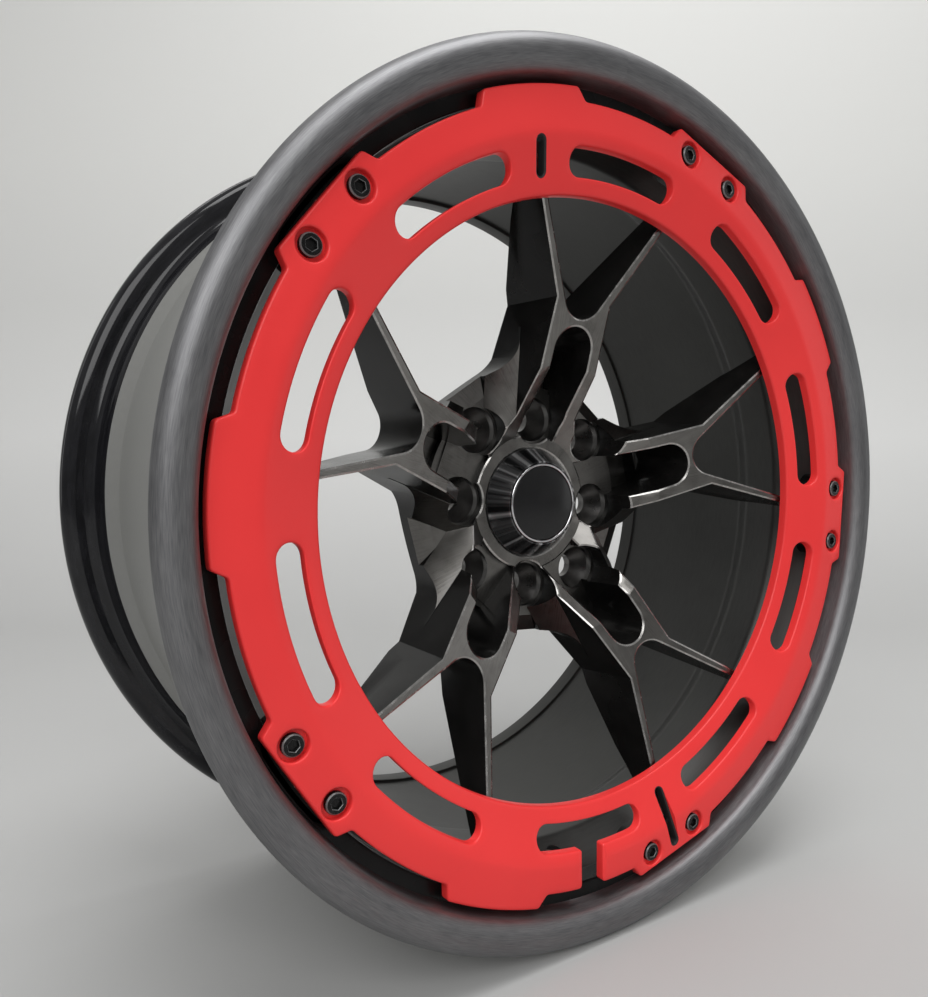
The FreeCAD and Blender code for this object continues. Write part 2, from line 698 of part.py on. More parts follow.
def screw():
    """Low socket head screw on the axis, head seated on the counterbore's floor."""
    top = COUNTERBORE_FLOOR - HEAD_HEIGHT
    body = turned([
        (0, top),
        (HEAD_R, top),
        (HEAD_R, COUNTERBORE_FLOOR),
        (SCREW_R, COUNTERBORE_FLOOR),
        (SCREW_R, COUNTERBORE_FLOOR + SCREW_GRIP),
        (0, COUNTERBORE_FLOOR + SCREW_GRIP),
    ])
    corner_r = SOCKET_FLATS / math.sqrt(3.0)
    corners = [polar(corner_r, 60.0 * i, top) for i in range(7)]
    return body.cut(Part.Face(Part.makePolygon(corners)).extrude(AXIS * SOCKET_DEPTH))


def ring_screws():
    return Part.makeCompound(at_screws(screw()))


def cap_body():
    """Cone with a seat for the disc and the bezel in front and a skirt into the hub behind."""
    flange_r = CAP_SEAT_R - CAP_CLEARANCE
    skirt_r = CAP_BORE_R - CAP_CLEARANCE
    tail = BORE_STEP_DEPTH - CAP_TAIL_GAP
    inside = skirt_r - CAP_WALL
    roof = CAP_FLOOR_DEPTH + CAP_WALL
    return turned([
        (0, CAP_FLOOR_DEPTH),
        (BEZEL_SEAT_R, CAP_FLOOR_DEPTH),
        (BEZEL_SEAT_R, CAP_TOP_DEPTH),
        (CAP_TOP_R, CAP_TOP_DEPTH),
        (flange_r, HUB_FACE_DEPTH),
        (flange_r, CAP_SEAT),
        (skirt_r, CAP_SEAT),
        (skirt_r, tail),
        (inside, tail),
        (inside, HUB_FACE_DEPTH),
        (BEZEL_SEAT_R - CAP_WALL, roof),
        (0, roof),
    ])


def cap_disc():
    """Disc inside the bezel, raised towards a flat crown."""
    radius = BEZEL_SEAT_R - BEZEL_W - CAP_CLEARANCE
    edge = CAP_TOP_DEPTH - BEZEL_PROUD + DISC_DOME / 2
    crown = edge - DISC_DOME
    return turned([(0, CAP_FLOOR_DEPTH), (radius, CAP_FLOOR_DEPTH), (radius, edge),
                   (DISC_CROWN_R, crown), (0, crown)])


def cap_bezel():
    """Trim ring with a ridged front."""
    outer = BEZEL_SEAT_R - CAP_CLEARANCE
    inner = BEZEL_SEAT_R - BEZEL_W
    ridge = ((inner + outer) / 2, CAP_TOP_DEPTH - BEZEL_PROUD)
    return turned([(inner, CAP_FLOOR_DEPTH), (outer, CAP_FLOOR_DEPTH), (outer, CAP_TOP_DEPTH), ridge,
                   (inner, CAP_TOP_DEPTH)])


def main():
    os.makedirs("parts", exist_ok=True)
    nodes = {
        "wheel": wheel,
        "face_ring": face_ring,
        "ring_screws": ring_screws,
        "cap_body": cap_body,
        "cap_disc": cap_disc,
        "cap_bezel": cap_bezel,
    }
    for name, make in nodes.items():
        make().exportStep(os.path.join("parts", name + ".step"))


main()
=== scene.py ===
"""Looks of the wheel rim: a smooth turned rim, spokes, a painted face ring, screws and a centre cap.

Sizes are in millimetres in the tables below and in metres in the meshes. The axis lies along Y, the
outboard face looks to -Y. A depth runs back from the widest circle of the front lip.
"""
import math

import bmesh
import bpy
import numpy as np
from mathutils import Matrix, Vector
from mathutils.geometry import delaunay_2d_cdt


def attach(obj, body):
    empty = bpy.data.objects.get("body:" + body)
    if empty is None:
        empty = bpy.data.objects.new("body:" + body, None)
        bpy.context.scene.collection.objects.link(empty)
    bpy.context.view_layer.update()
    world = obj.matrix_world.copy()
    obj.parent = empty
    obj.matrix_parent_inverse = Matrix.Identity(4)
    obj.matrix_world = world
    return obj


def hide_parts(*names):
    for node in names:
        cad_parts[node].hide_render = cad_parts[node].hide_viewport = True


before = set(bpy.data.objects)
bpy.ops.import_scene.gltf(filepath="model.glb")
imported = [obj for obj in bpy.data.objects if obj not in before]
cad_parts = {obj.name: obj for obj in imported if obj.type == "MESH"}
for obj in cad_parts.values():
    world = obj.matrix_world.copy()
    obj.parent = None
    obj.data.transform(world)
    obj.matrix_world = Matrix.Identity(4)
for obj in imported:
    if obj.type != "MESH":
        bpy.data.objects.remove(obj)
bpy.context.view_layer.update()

# Sizes of the rim, as in the part
MM = 0.001
MOUNT_DEPTH = 97.75
LIP_R = 235.6
RIM_DEPTH = 205.5
WALL_R = 208.0
LEDGE_DEPTH = 11.0
SPOKE_ANGLE = 86.75
RECESS_R = 216.0
LIP_INNER_R = 217.2
LIP_TOP_R = 226.4
LIP_BULGE = 6.2
FLANGE_EDGE = 7.5
FLANGE_EDGE_R = 228.1
FLANGE_ROOT = 6.5
FLANGE_ROOT_R = 224.8
BEAD_SEAT_R = 218.3
BEAD_SEAT_START = 14.0
BEAD_SEAT_END = 27.5
BEAD_FOOT_R = 217.0
WELL_R = 200.5
WELL_START = 46.0
WELL_END = 70.0
BARREL_R = 212.7
BARREL_START = 86.0
BARREL_END = 166.4
BACK_EDGE = 4.0
BACK_EDGE_R = 231.6
BACK_FACE = 209.5
BACK_BAND_R = 204.7
BACK_BAND_START = 196.5
INNER_BARREL_R = 206.7
INNER_WELL_R = 194.5
WALL_BACK = 25.0
WELL_ROUND = 8.0
DIAGONAL = math.sqrt(0.5)

# Steps of the round pieces
RIM_SEGMENTS = 288
LIP_STEPS = 26
FLANGE_STEPS = 8
BACK_EDGE_STEPS = 6
ROUND_STEPS = 5
CAP_SEGMENTS = 160
DISC_SEGMENTS = 128
DISC_STEPS = 14
BEZEL_STEPS = 10

# Face ring
RING_FRONT = 2.4
RING_BACK = 8.0
RING_INNER_R = 163.0
RING_CREASE_R = 191.4
RING_SLOPE = 9.6 / 28.4
TAB_R = 213.4
NOTCH_R = 206.4
TAB_COUNT = 10
TAB_PITCH = 360.0 / TAB_COUNT
TAB_HALF_ANGLE = 8.0
SHOULDER_ANGLE = 1.2
PAIR_ANGLE = SPOKE_ANGLE - TAB_PITCH / 2
SLOT_INNER_R = 171.5
SLOT_OUTER_R = 185.7
SLOT_HALF_ANGLE = 12.0
VALVE_ANGLE = SPOKE_ANGLE + 180.0
VALVE_GAP_W = 15.0
GROOVE_W = 4.4
GROOVE_INNER_R = 172.0
SHORT_GROOVE_ANGLE = SPOKE_ANGLE + TAB_PITCH / 2
LONG_GROOVE_ANGLE = PAIR_ANGLE + 6 * TAB_PITCH
GROOVE_CREASE_GAP = 2.0
GROOVE_END_STEPS = 8
SLOT_TIP_R = (SLOT_OUTER_R - SLOT_INNER_R) / 2
SLOT_MIDDLE_R = (SLOT_OUTER_R + SLOT_INNER_R) / 2
SLOT_END_ANGLE = SLOT_HALF_ANGLE - math.degrees(SLOT_TIP_R / SLOT_INNER_R)
SLOT_END_STEPS = 12
TAB_ROUND = 2.5
TAB_ROUND_ANGLE = 1.2
GAP_ROUND = 1.5
GAP_ROUND_ANGLE = 0.8
CREASE_SOFT = 0.8
SOFT_LIMIT = 60.0
BACK_CREASE_IN = 1.0
RING_EDGE = 1.1
RING_EDGE_TURNS = (0.0, 30.0, 60.0, 90.0)
SHORTEST_STEP = 0.02
GRID_START = 2.5
GRID_ALONG = 3.2
GRID_ACROSS = 3.0
GRID_CREASE_ACROSS = 1.3
GRID_CREASE_REACH = 4.0
GRID_CLEAR = 1.0

# Ring screws
SCREW_CIRCLE_R = 203.1
PAIR_COUNT = 5
PAIR_HALF_ANGLE = 5.0
COUNTERBORE_R = 7.2
COUNTERBORE_FLOOR = 5.9
SCREW_HOLE_R = 3.2
HEAD_R = 5.2
HEAD_HEIGHT = 3.0
HEAD_CHAMFER = 0.7
GLINT_SLOPE = 0.62
SOCKET_FLATS = 5.0
SOCKET_DEPTH = 1.8
SCREW_R = 3.0
SCREW_GRIP = 12.0
SCREW_STEPS = 48
SCREW_SEED = 11
SCREW_LARGEST_TURN = 60.0
SOCKET_CHAMFER = 0.25
TIP_CHAMFER = 0.5
BORE_STEPS = 40

# Hub and cap
HUB_FACE_DEPTH = 74.0
CAP_TOP_DEPTH = 62.5
CAP_FLOOR_DEPTH = 64.7
CAP_TOP_R = 24.6
BEZEL_SEAT_R = 23.8
BEZEL_OUTER_R = 23.55
BEZEL_INNER_R = 22.0
DISC_R = 21.75
CAP_SEAT_R = 32.35
CAP_SKIRT_R = 29.25
CAP_TAIL_DEPTH = 86.75
CAP_SEAT_DEPTH = 76.0
CAP_ROOF_DEPTH = 67.1
CAP_WALL = 2.4
CAP_BACK_FACING = 0.3
DISC_EDGE_DEPTH = 62.3
DISC_CROWN_DEPTH = 61.1
DISC_EDGE_ROUND = 0.3
BEZEL_PROUD = 0.8
VALVE_HOLE_R = 5.75
VALVE_R = 201.25
VALVE_DEPTH = 35.5
VALVE_DRILL = 40.0
PLATE_DEPTH = 78.0
LUG_CIRCLES_R = (50.0, 57.15)
LUG_COUNT = 8
LUG_MOUTH_R = 13.3
HUB_RING_R = 40.5
FACE_CREASE_R = 78.5
FACE_CREASE_DEPTH = 44.3
ARM_SEAT_R = 193.0
MERGE_GAP = 2e-6

# Room, in metres
WORLD_LEVEL = 0.45
BACKDROP_FRONT = -3.0
BACKDROP_REACH = 0.75
BACKDROP_BEND = 0.6
BACKDROP_TOP = 3.0
BACKDROP_HALF_W = 4.0
BACKDROP_STEPS = 24
BACKDROP_FADE = 0.9
SENSOR_W = 36.0
PICTURE_H = 997.0
FOCAL_LENGTH = 858.0
SHIFT_ACROSS = -44.6
SHIFT_UP = 25.4

# Lamps: name, place, width, height and power
LAMPS = [
    ("key", (-1.6, -1.9, 1.6), 2.2, 1.7, 42.0),
    ("top", (0.2, -0.4, 2.2), 2.0, 1.0, 34.0),
    ("strip", (0.1, 1.0, 1.5), 1.4, 0.12, 2.0),
    ("rim", (-1.3, 0.9, 0.5), 0.15, 1.2, 0.8),
    ("side", (2.0, -1.4, 0.5), 0.6, 1.6, 2.5),
]


def spot(radius, angle, depth):
    """Point in metres at a radius, an angle from +X and a depth."""
    turn = math.radians(angle)
    return Vector((radius * math.cos(turn), depth - MOUNT_DEPTH, radius * math.sin(turn))) * MM


def mesh_piece(name, points, faces):
    mesh = bpy.data.meshes.new(name)
    mesh.from_pydata([tuple(p) for p in points], [], faces)
    mesh.validate()
    piece = bpy.data.objects.new(name, mesh)
    bpy.context.scene.collection.objects.link(piece)
    return piece


def face_outwards(piece):
    shell = bmesh.new()
    shell.from_mesh(piece.data)
    bmesh.ops.recalc_face_normals(shell, faces=shell.faces)
    shell.to_mesh(piece.data)
    shell.free()


def shade(piece, angle):
    """Smooth shading with a hard edge wherever two faces meet at more than the angle."""
    mesh = piece.data
    mesh.shade_smooth()
    mesh.set_sharp_from_angle(angle=math.radians(angle))


def arc_points(start, middle, end, steps):
    """Points of the circle arc through three points, without the start."""
    (ax, ay), (bx, by), (cx, cy) = start, middle, end
    d = 2 * (ax * (by - cy) + bx * (cy - ay) + cx * (ay - by))
    a2 = ax * ax + ay * ay
    b2 = bx * bx + by * by
    c2 = cx * cx + cy * cy
    ux = (a2 * (by - cy) + b2 * (cy - ay) + c2 * (ay - by)) / d
    uy = (a2 * (cx - bx) + b2 * (ax - cx) + c2 * (bx - ax)) / d
    radius = math.hypot(ax - ux, ay - uy)
    first = math.atan2(ay - uy, ax - ux)
    last = math.atan2(cy - uy, cx - ux)
    turn = last - first
    side = (bx - ax) * (cy - ay) - (by - ay) * (cx - ax)
    if side > 0 and turn < 0:
        turn += 2 * math.pi
    if side < 0 and turn > 0:
        turn -= 2 * math.pi
    angles = [first + turn * i / steps for i in range(1, steps + 1)]
    return [(ux + radius * math.cos(a), uy + radius * math.sin(a)) for a in angles]


def rounded_loop(corners, steps=4):
    """Closed loop through corners (x, y, round) with each corner rounded by its own radius."""
    loop = []
    count = len(corners)
    for i, (x, y, radius) in enumerate(corners):
        here = Vector((x, y))
        before = (Vector(corners[i - 1][:2]) - here)
        after = (Vector(corners[(i + 1) % count][:2]) - here)
        if radius <= 0 or before.length < 1e-9 or after.length < 1e-9:
            loop.append((x, y))
            continue
        back = before.normalized()
        on = after.normalized()
        opening = math.acos(max(-1.0, min(1.0, back.dot(on))))
        if opening > math.radians(176):
            loop.append((x, y))
            continue
        reach = radius / math.tan(opening / 2)
        limit = 0.49 * min(before.length, after.length)
        if reach > limit:
            reach = limit
            radius = reach * math.tan(opening / 2)
        start = here + back * reach
        end = here + on * reach
        middle = here + (back + on).normalized() * (radius / math.sin(opening / 2) - radius)
        loop.append(tuple(start))
        loop += arc_points(tuple(start), tuple(middle), tuple(end), steps)
    return loop


def lathe(name, profile, segments, zones=None):
    """Closed profile of (radius, depth) turned round the axis; zones gives a material number per step."""
    count = len(profile)
    points = []
    for i in range(segments):
        angle = 360.0 * i / segments
        points += [spot(r, angle, d) for r, d in profile]
    faces = []
    numbers = []
    for i in range(segments):
        a = i * count
        b = ((i + 1) % segments) * count
        for j in range(count):
            k = (j + 1) % count
            faces.append((a + j, b + j, b + k, a + k))
            numbers.append(zones[j] if zones else 0)
    piece = mesh_piece(name, points, faces)
    piece.data.polygons.foreach_set("material_index", numbers)
    face_outwards(piece)
    return piece


def disc_lathe(name, profile, segments):
    """Open profile that starts and ends on the axis, turned to a closed shape."""
    inner = profile[1:-1]
    count = len(inner)
    points = [spot(0, 0, profile[0][1]), spot(0, 0, profile[-1][1])]
    for i in range(segments):
        angle = 360.0 * i / segments
        points += [spot(r, angle, d) for r, d in inner]
    faces = []
    for i in range(segments):
        a = 2 + i * count
        b = 2 + ((i + 1) % segments) * count
        faces.append((0, a, b))
        faces.append((1, b + count - 1, a + count - 1))
        for j in range(count - 1):
            faces.append((a + j, a + j + 1, b + j + 1, b + j))
    piece = mesh_piece(name, points, faces)
    face_outwards(piece)
    return piece


# Materials

class Finish:
    """A material with its node tree and a principled shader, and helpers to wire detail into it."""

    def __init__(self, name, base, metallic, roughness):
        self.material = bpy.data.materials.new(name)
        self.material.use_nodes = True
        self.tree = self.material.node_tree
        self.shader = self.tree.nodes["Principled BSDF"]
        self.shader.inputs["Base Color"].default_value = (*base, 1.0)
        self.shader.inputs["Metallic"].default_value = metallic
        self.shader.inputs["Roughness"].default_value = roughness
        self.place = self.tree.nodes.new("ShaderNodeTexCoord")

    def set(self, **values):
        for socket, value in values.items():
            self.shader.inputs[socket.replace("_", " ")].default_value = value
        return self

    def node(self, kind, **settings):
        node = self.tree.nodes.new(kind)
        for key, value in settings.items():
            setattr(node, key, value)
        return node

    def join(self, start, end):
        self.tree.links.new(start, end)

    def math(self, operation, first, second=None):
        node = self.node("ShaderNodeMath", operation=operation)
        for socket, value in zip(node.inputs, (first, second)):
            if value is None:
                continue
            if isinstance(value, (int, float)):
                socket.default_value = value
            else:
                self.join(value, socket)
        return node.outputs[0]

    def mapped(self, value, low, high, to_low, to_high):
        node = self.node("ShaderNodeMapRange")
        self.join(value, node.inputs["Value"])
        for key, number in zip(("From Min", "From Max", "To Min", "To Max"), (low, high, to_low, to_high)):
            node.inputs[key].default_value = number
        return node.outputs["Result"]

    def split(self):
        node = self.node("ShaderNodeSeparateXYZ")
        self.join(self.place.outputs["Object"], node.inputs[0])
        return node.outputs

    def turned_place(self, radial, around, axial):
        """Vector of radius, angle and depth, each stretched by its own factor, for marks of turning."""
        x, y, z = self.split()
        radius = self.math("SQRT", self.math("ADD", self.math("MULTIPLY", x, x), self.math("MULTIPLY", z, z)))
        angle = self.math("ARCTAN2", x, self.math("MULTIPLY", z, -1.0))
        join = self.node("ShaderNodeCombineXYZ")
        self.join(self.math("MULTIPLY", radius, radial), join.inputs[0])
        self.join(self.math("MULTIPLY", angle, around), join.inputs[1])
        self.join(self.math("MULTIPLY", y, axial), join.inputs[2])
        return join.outputs[0]

    def noise(self, vector, scale, detail=3.0, rough=0.55):
        node = self.node("ShaderNodeTexNoise")
        self.join(vector, node.inputs["Vector"])
        node.inputs["Scale"].default_value = scale
        node.inputs["Detail"].default_value = detail
        node.inputs["Roughness"].default_value = rough
        return node.outputs["Fac"]

    def ramp_colour(self, value, stops):
        node = self.node("ShaderNodeValToRGB")
        self.join(value, node.inputs["Fac"])
        ramp = node.color_ramp
        while len(ramp.elements) < len(stops):
            ramp.elements.new(0.5)
        for element, (position, colour) in zip(ramp.elements, stops):
            element.position = position
            element.color = (*colour, 1.0)
        self.join(node.outputs["Color"], self.shader.inputs["Base Color"])

    def roughness_from(self, value):
        self.join(value, self.shader.inputs["Roughness"])

    def bump_from(self, value, strength, distance):
        node = self.node("ShaderNodeBump")
        node.inputs["Strength"].default_value = strength
        node.inputs["Distance"].default_value = distance
        self.join(value, node.inputs["Height"])
        self.join(node.outputs["Normal"], self.shader.inputs["Normal"])


def brushed_lip():
    """Dark tinted metal with fine marks of turning and a few uneven clouds."""
    finish = Finish("brushed_lip", (0.17, 0.17, 0.175), 1.0, 0.36)
    fine = finish.noise(finish.turned_place(1.0, 0.01, 1.0), 2600.0, 2.0)
    cloud = finish.noise(finish.turned_place(1.0, 0.06, 1.0), 70.0, 4.0)
    mix = finish.math("ADD", finish.math("MULTIPLY", fine, 0.65), finish.math("MULTIPLY", cloud, 0.35))
    stops = [(0.34, (0.145, 0.145, 0.15)), (0.5, (0.19, 0.19, 0.195)), (0.66, (0.24, 0.24, 0.243))]
    finish.ramp_colour(mix, stops)
    finish.roughness_from(finish.mapped(mix, 0.3, 0.7, 0.44, 0.54))
    finish.bump_from(fine, 0.03, 0.0001)
    return finish.set(Coat_Weight=0.06, Coat_Roughness=0.2).material


def recess_black():
    """Deep black of the recess behind the ring."""
    finish = Finish("recess_black", (0.006, 0.006, 0.006), 0.0, 0.26)
    cloud = finish.noise(finish.place.outputs["Object"], 38.0, 3.0)
    finish.ramp_colour(cloud, [(0.3, (0.004, 0.004, 0.004)), (0.7, (0.009, 0.009, 0.009))])
    finish.roughness_from(finish.mapped(cloud, 0.3, 0.7, 0.2, 0.32))
    return finish.set(Specular_IOR_Level=0.14).material


def flange_black():
    """Clear coated black of the back flange and its bead seat."""
    finish = Finish("flange_black", (0.008, 0.008, 0.009), 0.0, 0.09)
    cloud = finish.noise(finish.turned_place(1.0, 0.04, 1.0), 300.0, 3.0)
    finish.ramp_colour(cloud, [(0.3, (0.005, 0.005, 0.006)), (0.7, (0.012, 0.012, 0.014))])
    finish.roughness_from(finish.mapped(cloud, 0.3, 0.7, 0.06, 0.12))
    return finish.set(Specular_IOR_Level=0.35).material


def satin_inside():
    """Dark satin metal inside the barrel."""
    finish = Finish("satin_inside", (0.06, 0.06, 0.058), 0.7, 0.4)
    fine = finish.noise(finish.turned_place(1.0, 0.02, 1.0), 900.0, 2.0)
    cloud = finish.noise(finish.place.outputs["Object"], 12.0, 3.0)
    mix = finish.math("ADD", finish.math("MULTIPLY", fine, 0.4), finish.math("MULTIPLY", cloud, 0.6))
    finish.ramp_colour(mix, [(0.3, (0.04, 0.04, 0.038)), (0.7, (0.065, 0.065, 0.062))])
    finish.roughness_from(finish.mapped(mix, 0.3, 0.7, 0.34, 0.48))
    return finish.material


def outside_painted_reflection():
    """Even grey of the tyre side, a painted reflection of the pale wall, under a satin finish."""
    # The grey base colour stands in for the pale wall's reflection.
    finish = Finish("outside_painted_reflection", (0.2, 0.2, 0.19), 0.0, 0.4)
    fine = finish.noise(finish.turned_place(1.0, 0.05, 1.0), 1400.0, 2.0)
    finish.ramp_colour(fine, [(0.3, (0.19, 0.19, 0.18)), (0.7, (0.225, 0.225, 0.215))])
    finish.roughness_from(finish.mapped(fine, 0.3, 0.7, 0.34, 0.46))
    return finish.set(Specular_IOR_Level=0.4).material


def spoke_black():
    """Smoky black of the spoke walls and pockets under a dark clear coat."""
    finish = Finish("spoke_black", (0.008, 0.0077, 0.0073), 0.0, 0.2)
    cloud = finish.noise(finish.place.outputs["Object"], 46.0, 3.0)
    finish.ramp_colour(cloud, [(0.3, (0.005, 0.0048, 0.0046)), (0.7, (0.011, 0.0106, 0.0101))])
    finish.roughness_from(finish.mapped(cloud, 0.3, 0.7, 0.15, 0.23))
    return finish.set(Specular_IOR_Level=0.18).material


def lug_seat():
    """Bare turned metal of the lug holes."""
    finish = Finish("lug_seat", (0.16, 0.155, 0.15), 1.0, 0.3)
    cloud = finish.noise(finish.place.outputs["Object"], 120.0, 2.0)
    finish.ramp_colour(cloud, [(0.3, (0.13, 0.126, 0.122)), (0.7, (0.19, 0.185, 0.18))])
    finish.roughness_from(finish.mapped(cloud, 0.3, 0.7, 0.26, 0.34))
    return finish.material


def painted_edge_highlight():
    """Broken edges of the machined faces, coloured brighter than the faces as a painted highlight."""
    finish = Finish("painted_edge_highlight", (0.4, 0.39, 0.375), 1.0, 0.24)
    cloud = finish.noise(finish.place.outputs["Object"], 200.0, 3.0)
    finish.ramp_colour(cloud, [(0.3, (0.28, 0.273, 0.262)), (0.7, (0.48, 0.468, 0.45))])
    finish.roughness_from(finish.mapped(cloud, 0.3, 0.7, 0.18, 0.3))
    return finish.material


def smoked_face(name, level):
    """Machined faces of the spokes and hub under a smoky clear coat; level scales the colours, and the feet
    take a darker copy.
    """
    finish = Finish(name, (0.15 * level, 0.144 * level, 0.135 * level), 1.0, 0.3)
    along = finish.noise(finish.turned_place(0.04, 1.0, 0.04), 1100.0, 2.0)
    cloud = finish.noise(finish.place.outputs["Object"], 60.0, 3.0)
    mix = finish.math("ADD", finish.math("MULTIPLY", along, 0.55), finish.math("MULTIPLY", cloud, 0.45))
    stops = [(0.3, (0.085, 0.08, 0.074)), (0.5, (0.15, 0.144, 0.135)), (0.72, (0.25, 0.243, 0.23))]
    finish.ramp_colour(mix, [(place, tuple(level * part for part in colour)) for place, colour in stops])
    finish.roughness_from(finish.mapped(mix, 0.3, 0.7, 0.24, 0.38))
    finish.bump_from(along, 0.06, 0.0002)
    return finish.set(Coat_Weight=0.4, Coat_Roughness=0.1).material


def red_paint():
    """Satin red paint with a faint orange peel."""
    finish = Finish("red_paint", (0.80, 0.034, 0.034), 0.0, 0.4)
    peel = finish.noise(finish.place.outputs["Object"], 420.0, 2.0)
    cloud = finish.noise(finish.place.outputs["Object"], 9.0, 3.0)
    finish.ramp_colour(cloud, [(0.3, (0.83, 0.034, 0.035)), (0.7, (0.91, 0.044, 0.043))])
    finish.roughness_from(finish.mapped(peel, 0.3, 0.7, 0.34, 0.46))
    finish.bump_from(peel, 0.05, 0.0004)
    return finish.set(Specular_IOR_Level=0.35, Coat_Weight=0.1, Coat_Roughness=0.15).material


def black_oxide():
    """Black socket screws, with a painted highlight where their broken edges slope."""
    finish = Finish("black_oxide", (0.008, 0.008, 0.008), 0.2, 0.26)
    cloud = finish.noise(finish.place.outputs["Object"], 700.0, 3.0)
    facing = finish.node("ShaderNodeSeparateXYZ")
    finish.join(finish.place.outputs["Normal"], facing.inputs[0])
    # Painted highlight: facets at the slope of the broken edges are coloured lighter.
    off_slope = finish.math("ABSOLUTE", finish.math("ADD", facing.outputs[1], GLINT_SLOPE))
    glint = finish.mapped(off_slope, 0.15, 0.3, 1.0, 0.0)
    mix = finish.math("ADD", glint, finish.math("MULTIPLY", cloud, 0.3))
    stops = [(0.1, (0.004, 0.004, 0.004)), (0.24, (0.012, 0.012, 0.012)), (1.0, (0.15, 0.15, 0.15))]
    finish.ramp_colour(mix, stops)
    finish.roughness_from(finish.mapped(cloud, 0.3, 0.7, 0.2, 0.34))
    return finish.set(Specular_IOR_Level=0.3).material


def dark_chrome():
    """Smoked chrome of the cap's cone with painted reflection streaks that run down the cone."""
    finish = Finish("dark_chrome", (0.3, 0.3, 0.305), 0.7, 0.14)
    reflection_streak = finish.noise(finish.turned_place(0.03, 1.0, 0.03), 5.0, 2.0)
    # Dark and light stops paint the reflection streaks into the colour.
    stops = [(0.42, (0.015, 0.015, 0.016)), (0.54, (0.12, 0.12, 0.122)), (0.66, (0.55, 0.55, 0.555))]
    finish.ramp_colour(reflection_streak, stops)
    finish.roughness_from(finish.mapped(reflection_streak, 0.3, 0.7, 0.1, 0.18))
    return finish.material


def matt_black(name):
    """Matt black of the two narrow grooves in the ring and of the cap's hidden side."""
    finish = Finish(name, (0.01, 0.01, 0.01), 0.0, 0.6)
    cloud = finish.noise(finish.place.outputs["Object"], 300.0, 2.0)
    finish.roughness_from(finish.mapped(cloud, 0.3, 0.7, 0.5, 0.7))
    return finish.material


def bright_chrome():
    """Bright trim ring of the cap."""
    finish = Finish("bright_chrome", (0.62, 0.62, 0.63), 1.0, 0.08)
    fine = finish.noise(finish.place.outputs["Object"], 300.0, 2.0)
    finish.roughness_from(finish.mapped(fine, 0.3, 0.7, 0.05, 0.14))
    return finish.material


def cap_black():
    """Glossy black of the cap's disc."""
    finish = Finish("cap_black", (0.008, 0.008, 0.0085), 0.0, 0.2)
    cloud = finish.noise(finish.place.outputs["Object"], 90.0, 3.0)
    finish.roughness_from(finish.mapped(cloud, 0.3, 0.7, 0.14, 0.24))
    return finish.set(Specular_IOR_Level=0.35, Coat_Weight=0.1, Coat_Roughness=0.05).material


def wear(piece, *materials):
    for material in materials:
        piece.data.materials.append(material)


# Rim

LIP, RECESS, OUTSIDE, INSIDE, BACK = range(5)


def rim_profile():
    """Steps of the rim's section as (radius, depth, zone of the step that starts there)."""
    steps = []

    def to(zone, *points):
        for r, d in points:
            steps.append((r, d, zone))

    to(RECESS, (WALL_R, LEDGE_DEPTH + 1.0), (WALL_R + 0.3, LEDGE_DEPTH + 0.3), (WALL_R + 1.0, LEDGE_DEPTH),
       (RECESS_R - 0.8, LEDGE_DEPTH))
    to(LIP, (RECESS_R - 0.25, LEDGE_DEPTH - 0.2), (RECESS_R + 0.05, LEDGE_DEPTH - 0.8))
    to(LIP, (LIP_INNER_R - 0.1, 1.2))
    lip = arc_points((LIP_INNER_R, 0.0), (LIP_TOP_R, -LIP_BULGE), (LIP_R, 0.0), LIP_STEPS)
    to(LIP, (LIP_INNER_R + 0.15, 0.0), *lip[1:-1])
    to(LIP, (LIP_R, 0.0))

    def flange(centre, side):
        """Tyre side of a flange from its widest circle to the foot of the bead seat."""
        edge_end = centre + side * FLANGE_EDGE
        edge_middle = (FLANGE_EDGE_R + DIAGONAL * FLANGE_EDGE, centre + side * DIAGONAL * FLANGE_EDGE)
        root_lean = DIAGONAL * FLANGE_ROOT
        root_middle = (FLANGE_ROOT_R - root_lean, centre + side * (BEAD_SEAT_START - root_lean))
        root_end = (BEAD_SEAT_R, centre + side * BEAD_SEAT_START)
        edge = arc_points((LIP_R, centre), edge_middle, (FLANGE_EDGE_R, edge_end), FLANGE_STEPS)
        root = arc_points((FLANGE_ROOT_R, edge_end), root_middle, root_end, FLANGE_STEPS)
        return edge + [(FLANGE_ROOT_R, edge_end)] + root + [(BEAD_FOOT_R, centre + side * BEAD_SEAT_END)]

    to(OUTSIDE, *flange(0.0, 1))
    well = rounded_loop([
        (BEAD_FOOT_R, BEAD_SEAT_END, 0),
        (WELL_R, WELL_START, WELL_ROUND),
        (WELL_R, WELL_END, WELL_ROUND),
        (BARREL_R, BARREL_START, WELL_ROUND),
        (BARREL_R, BARREL_END - 6.4, 0),
    ], ROUND_STEPS)
    to(OUTSIDE, *well[1:])
    to(OUTSIDE, (BARREL_R, BARREL_END))
    to(BACK, *reversed(flange(RIM_DEPTH, -1)))
    to(BACK, (LIP_R, RIM_DEPTH))
    edge_lean = DIAGONAL * BACK_EDGE
    to(BACK, *arc_points((LIP_R, RIM_DEPTH), (BACK_EDGE_R + edge_lean, RIM_DEPTH + edge_lean),
                         (BACK_EDGE_R, RIM_DEPTH + BACK_EDGE), BACK_EDGE_STEPS))
    inner = rounded_loop([
        (BACK_EDGE_R - 0.6, BACK_FACE, 0),
        (BACK_BAND_R, BACK_FACE, 1.0),
        (BACK_BAND_R, BACK_BAND_START, 0.6),
        (INNER_BARREL_R, BACK_BAND_START, 0.6),
        (INNER_BARREL_R, BARREL_START, WELL_ROUND),
        (INNER_WELL_R, WELL_END, WELL_ROUND),
        (INNER_WELL_R, WELL_START, WELL_ROUND),
        (WALL_R, WALL_BACK, 4.0),
        (WALL_R, LEDGE_DEPTH + 2.0, 0),
    ], ROUND_STEPS)
    to(BACK, inner[0])
    for r, d in inner[1:]:
        to(INSIDE if d > WALL_BACK - 1.0 else RECESS, (r, d))
    return steps


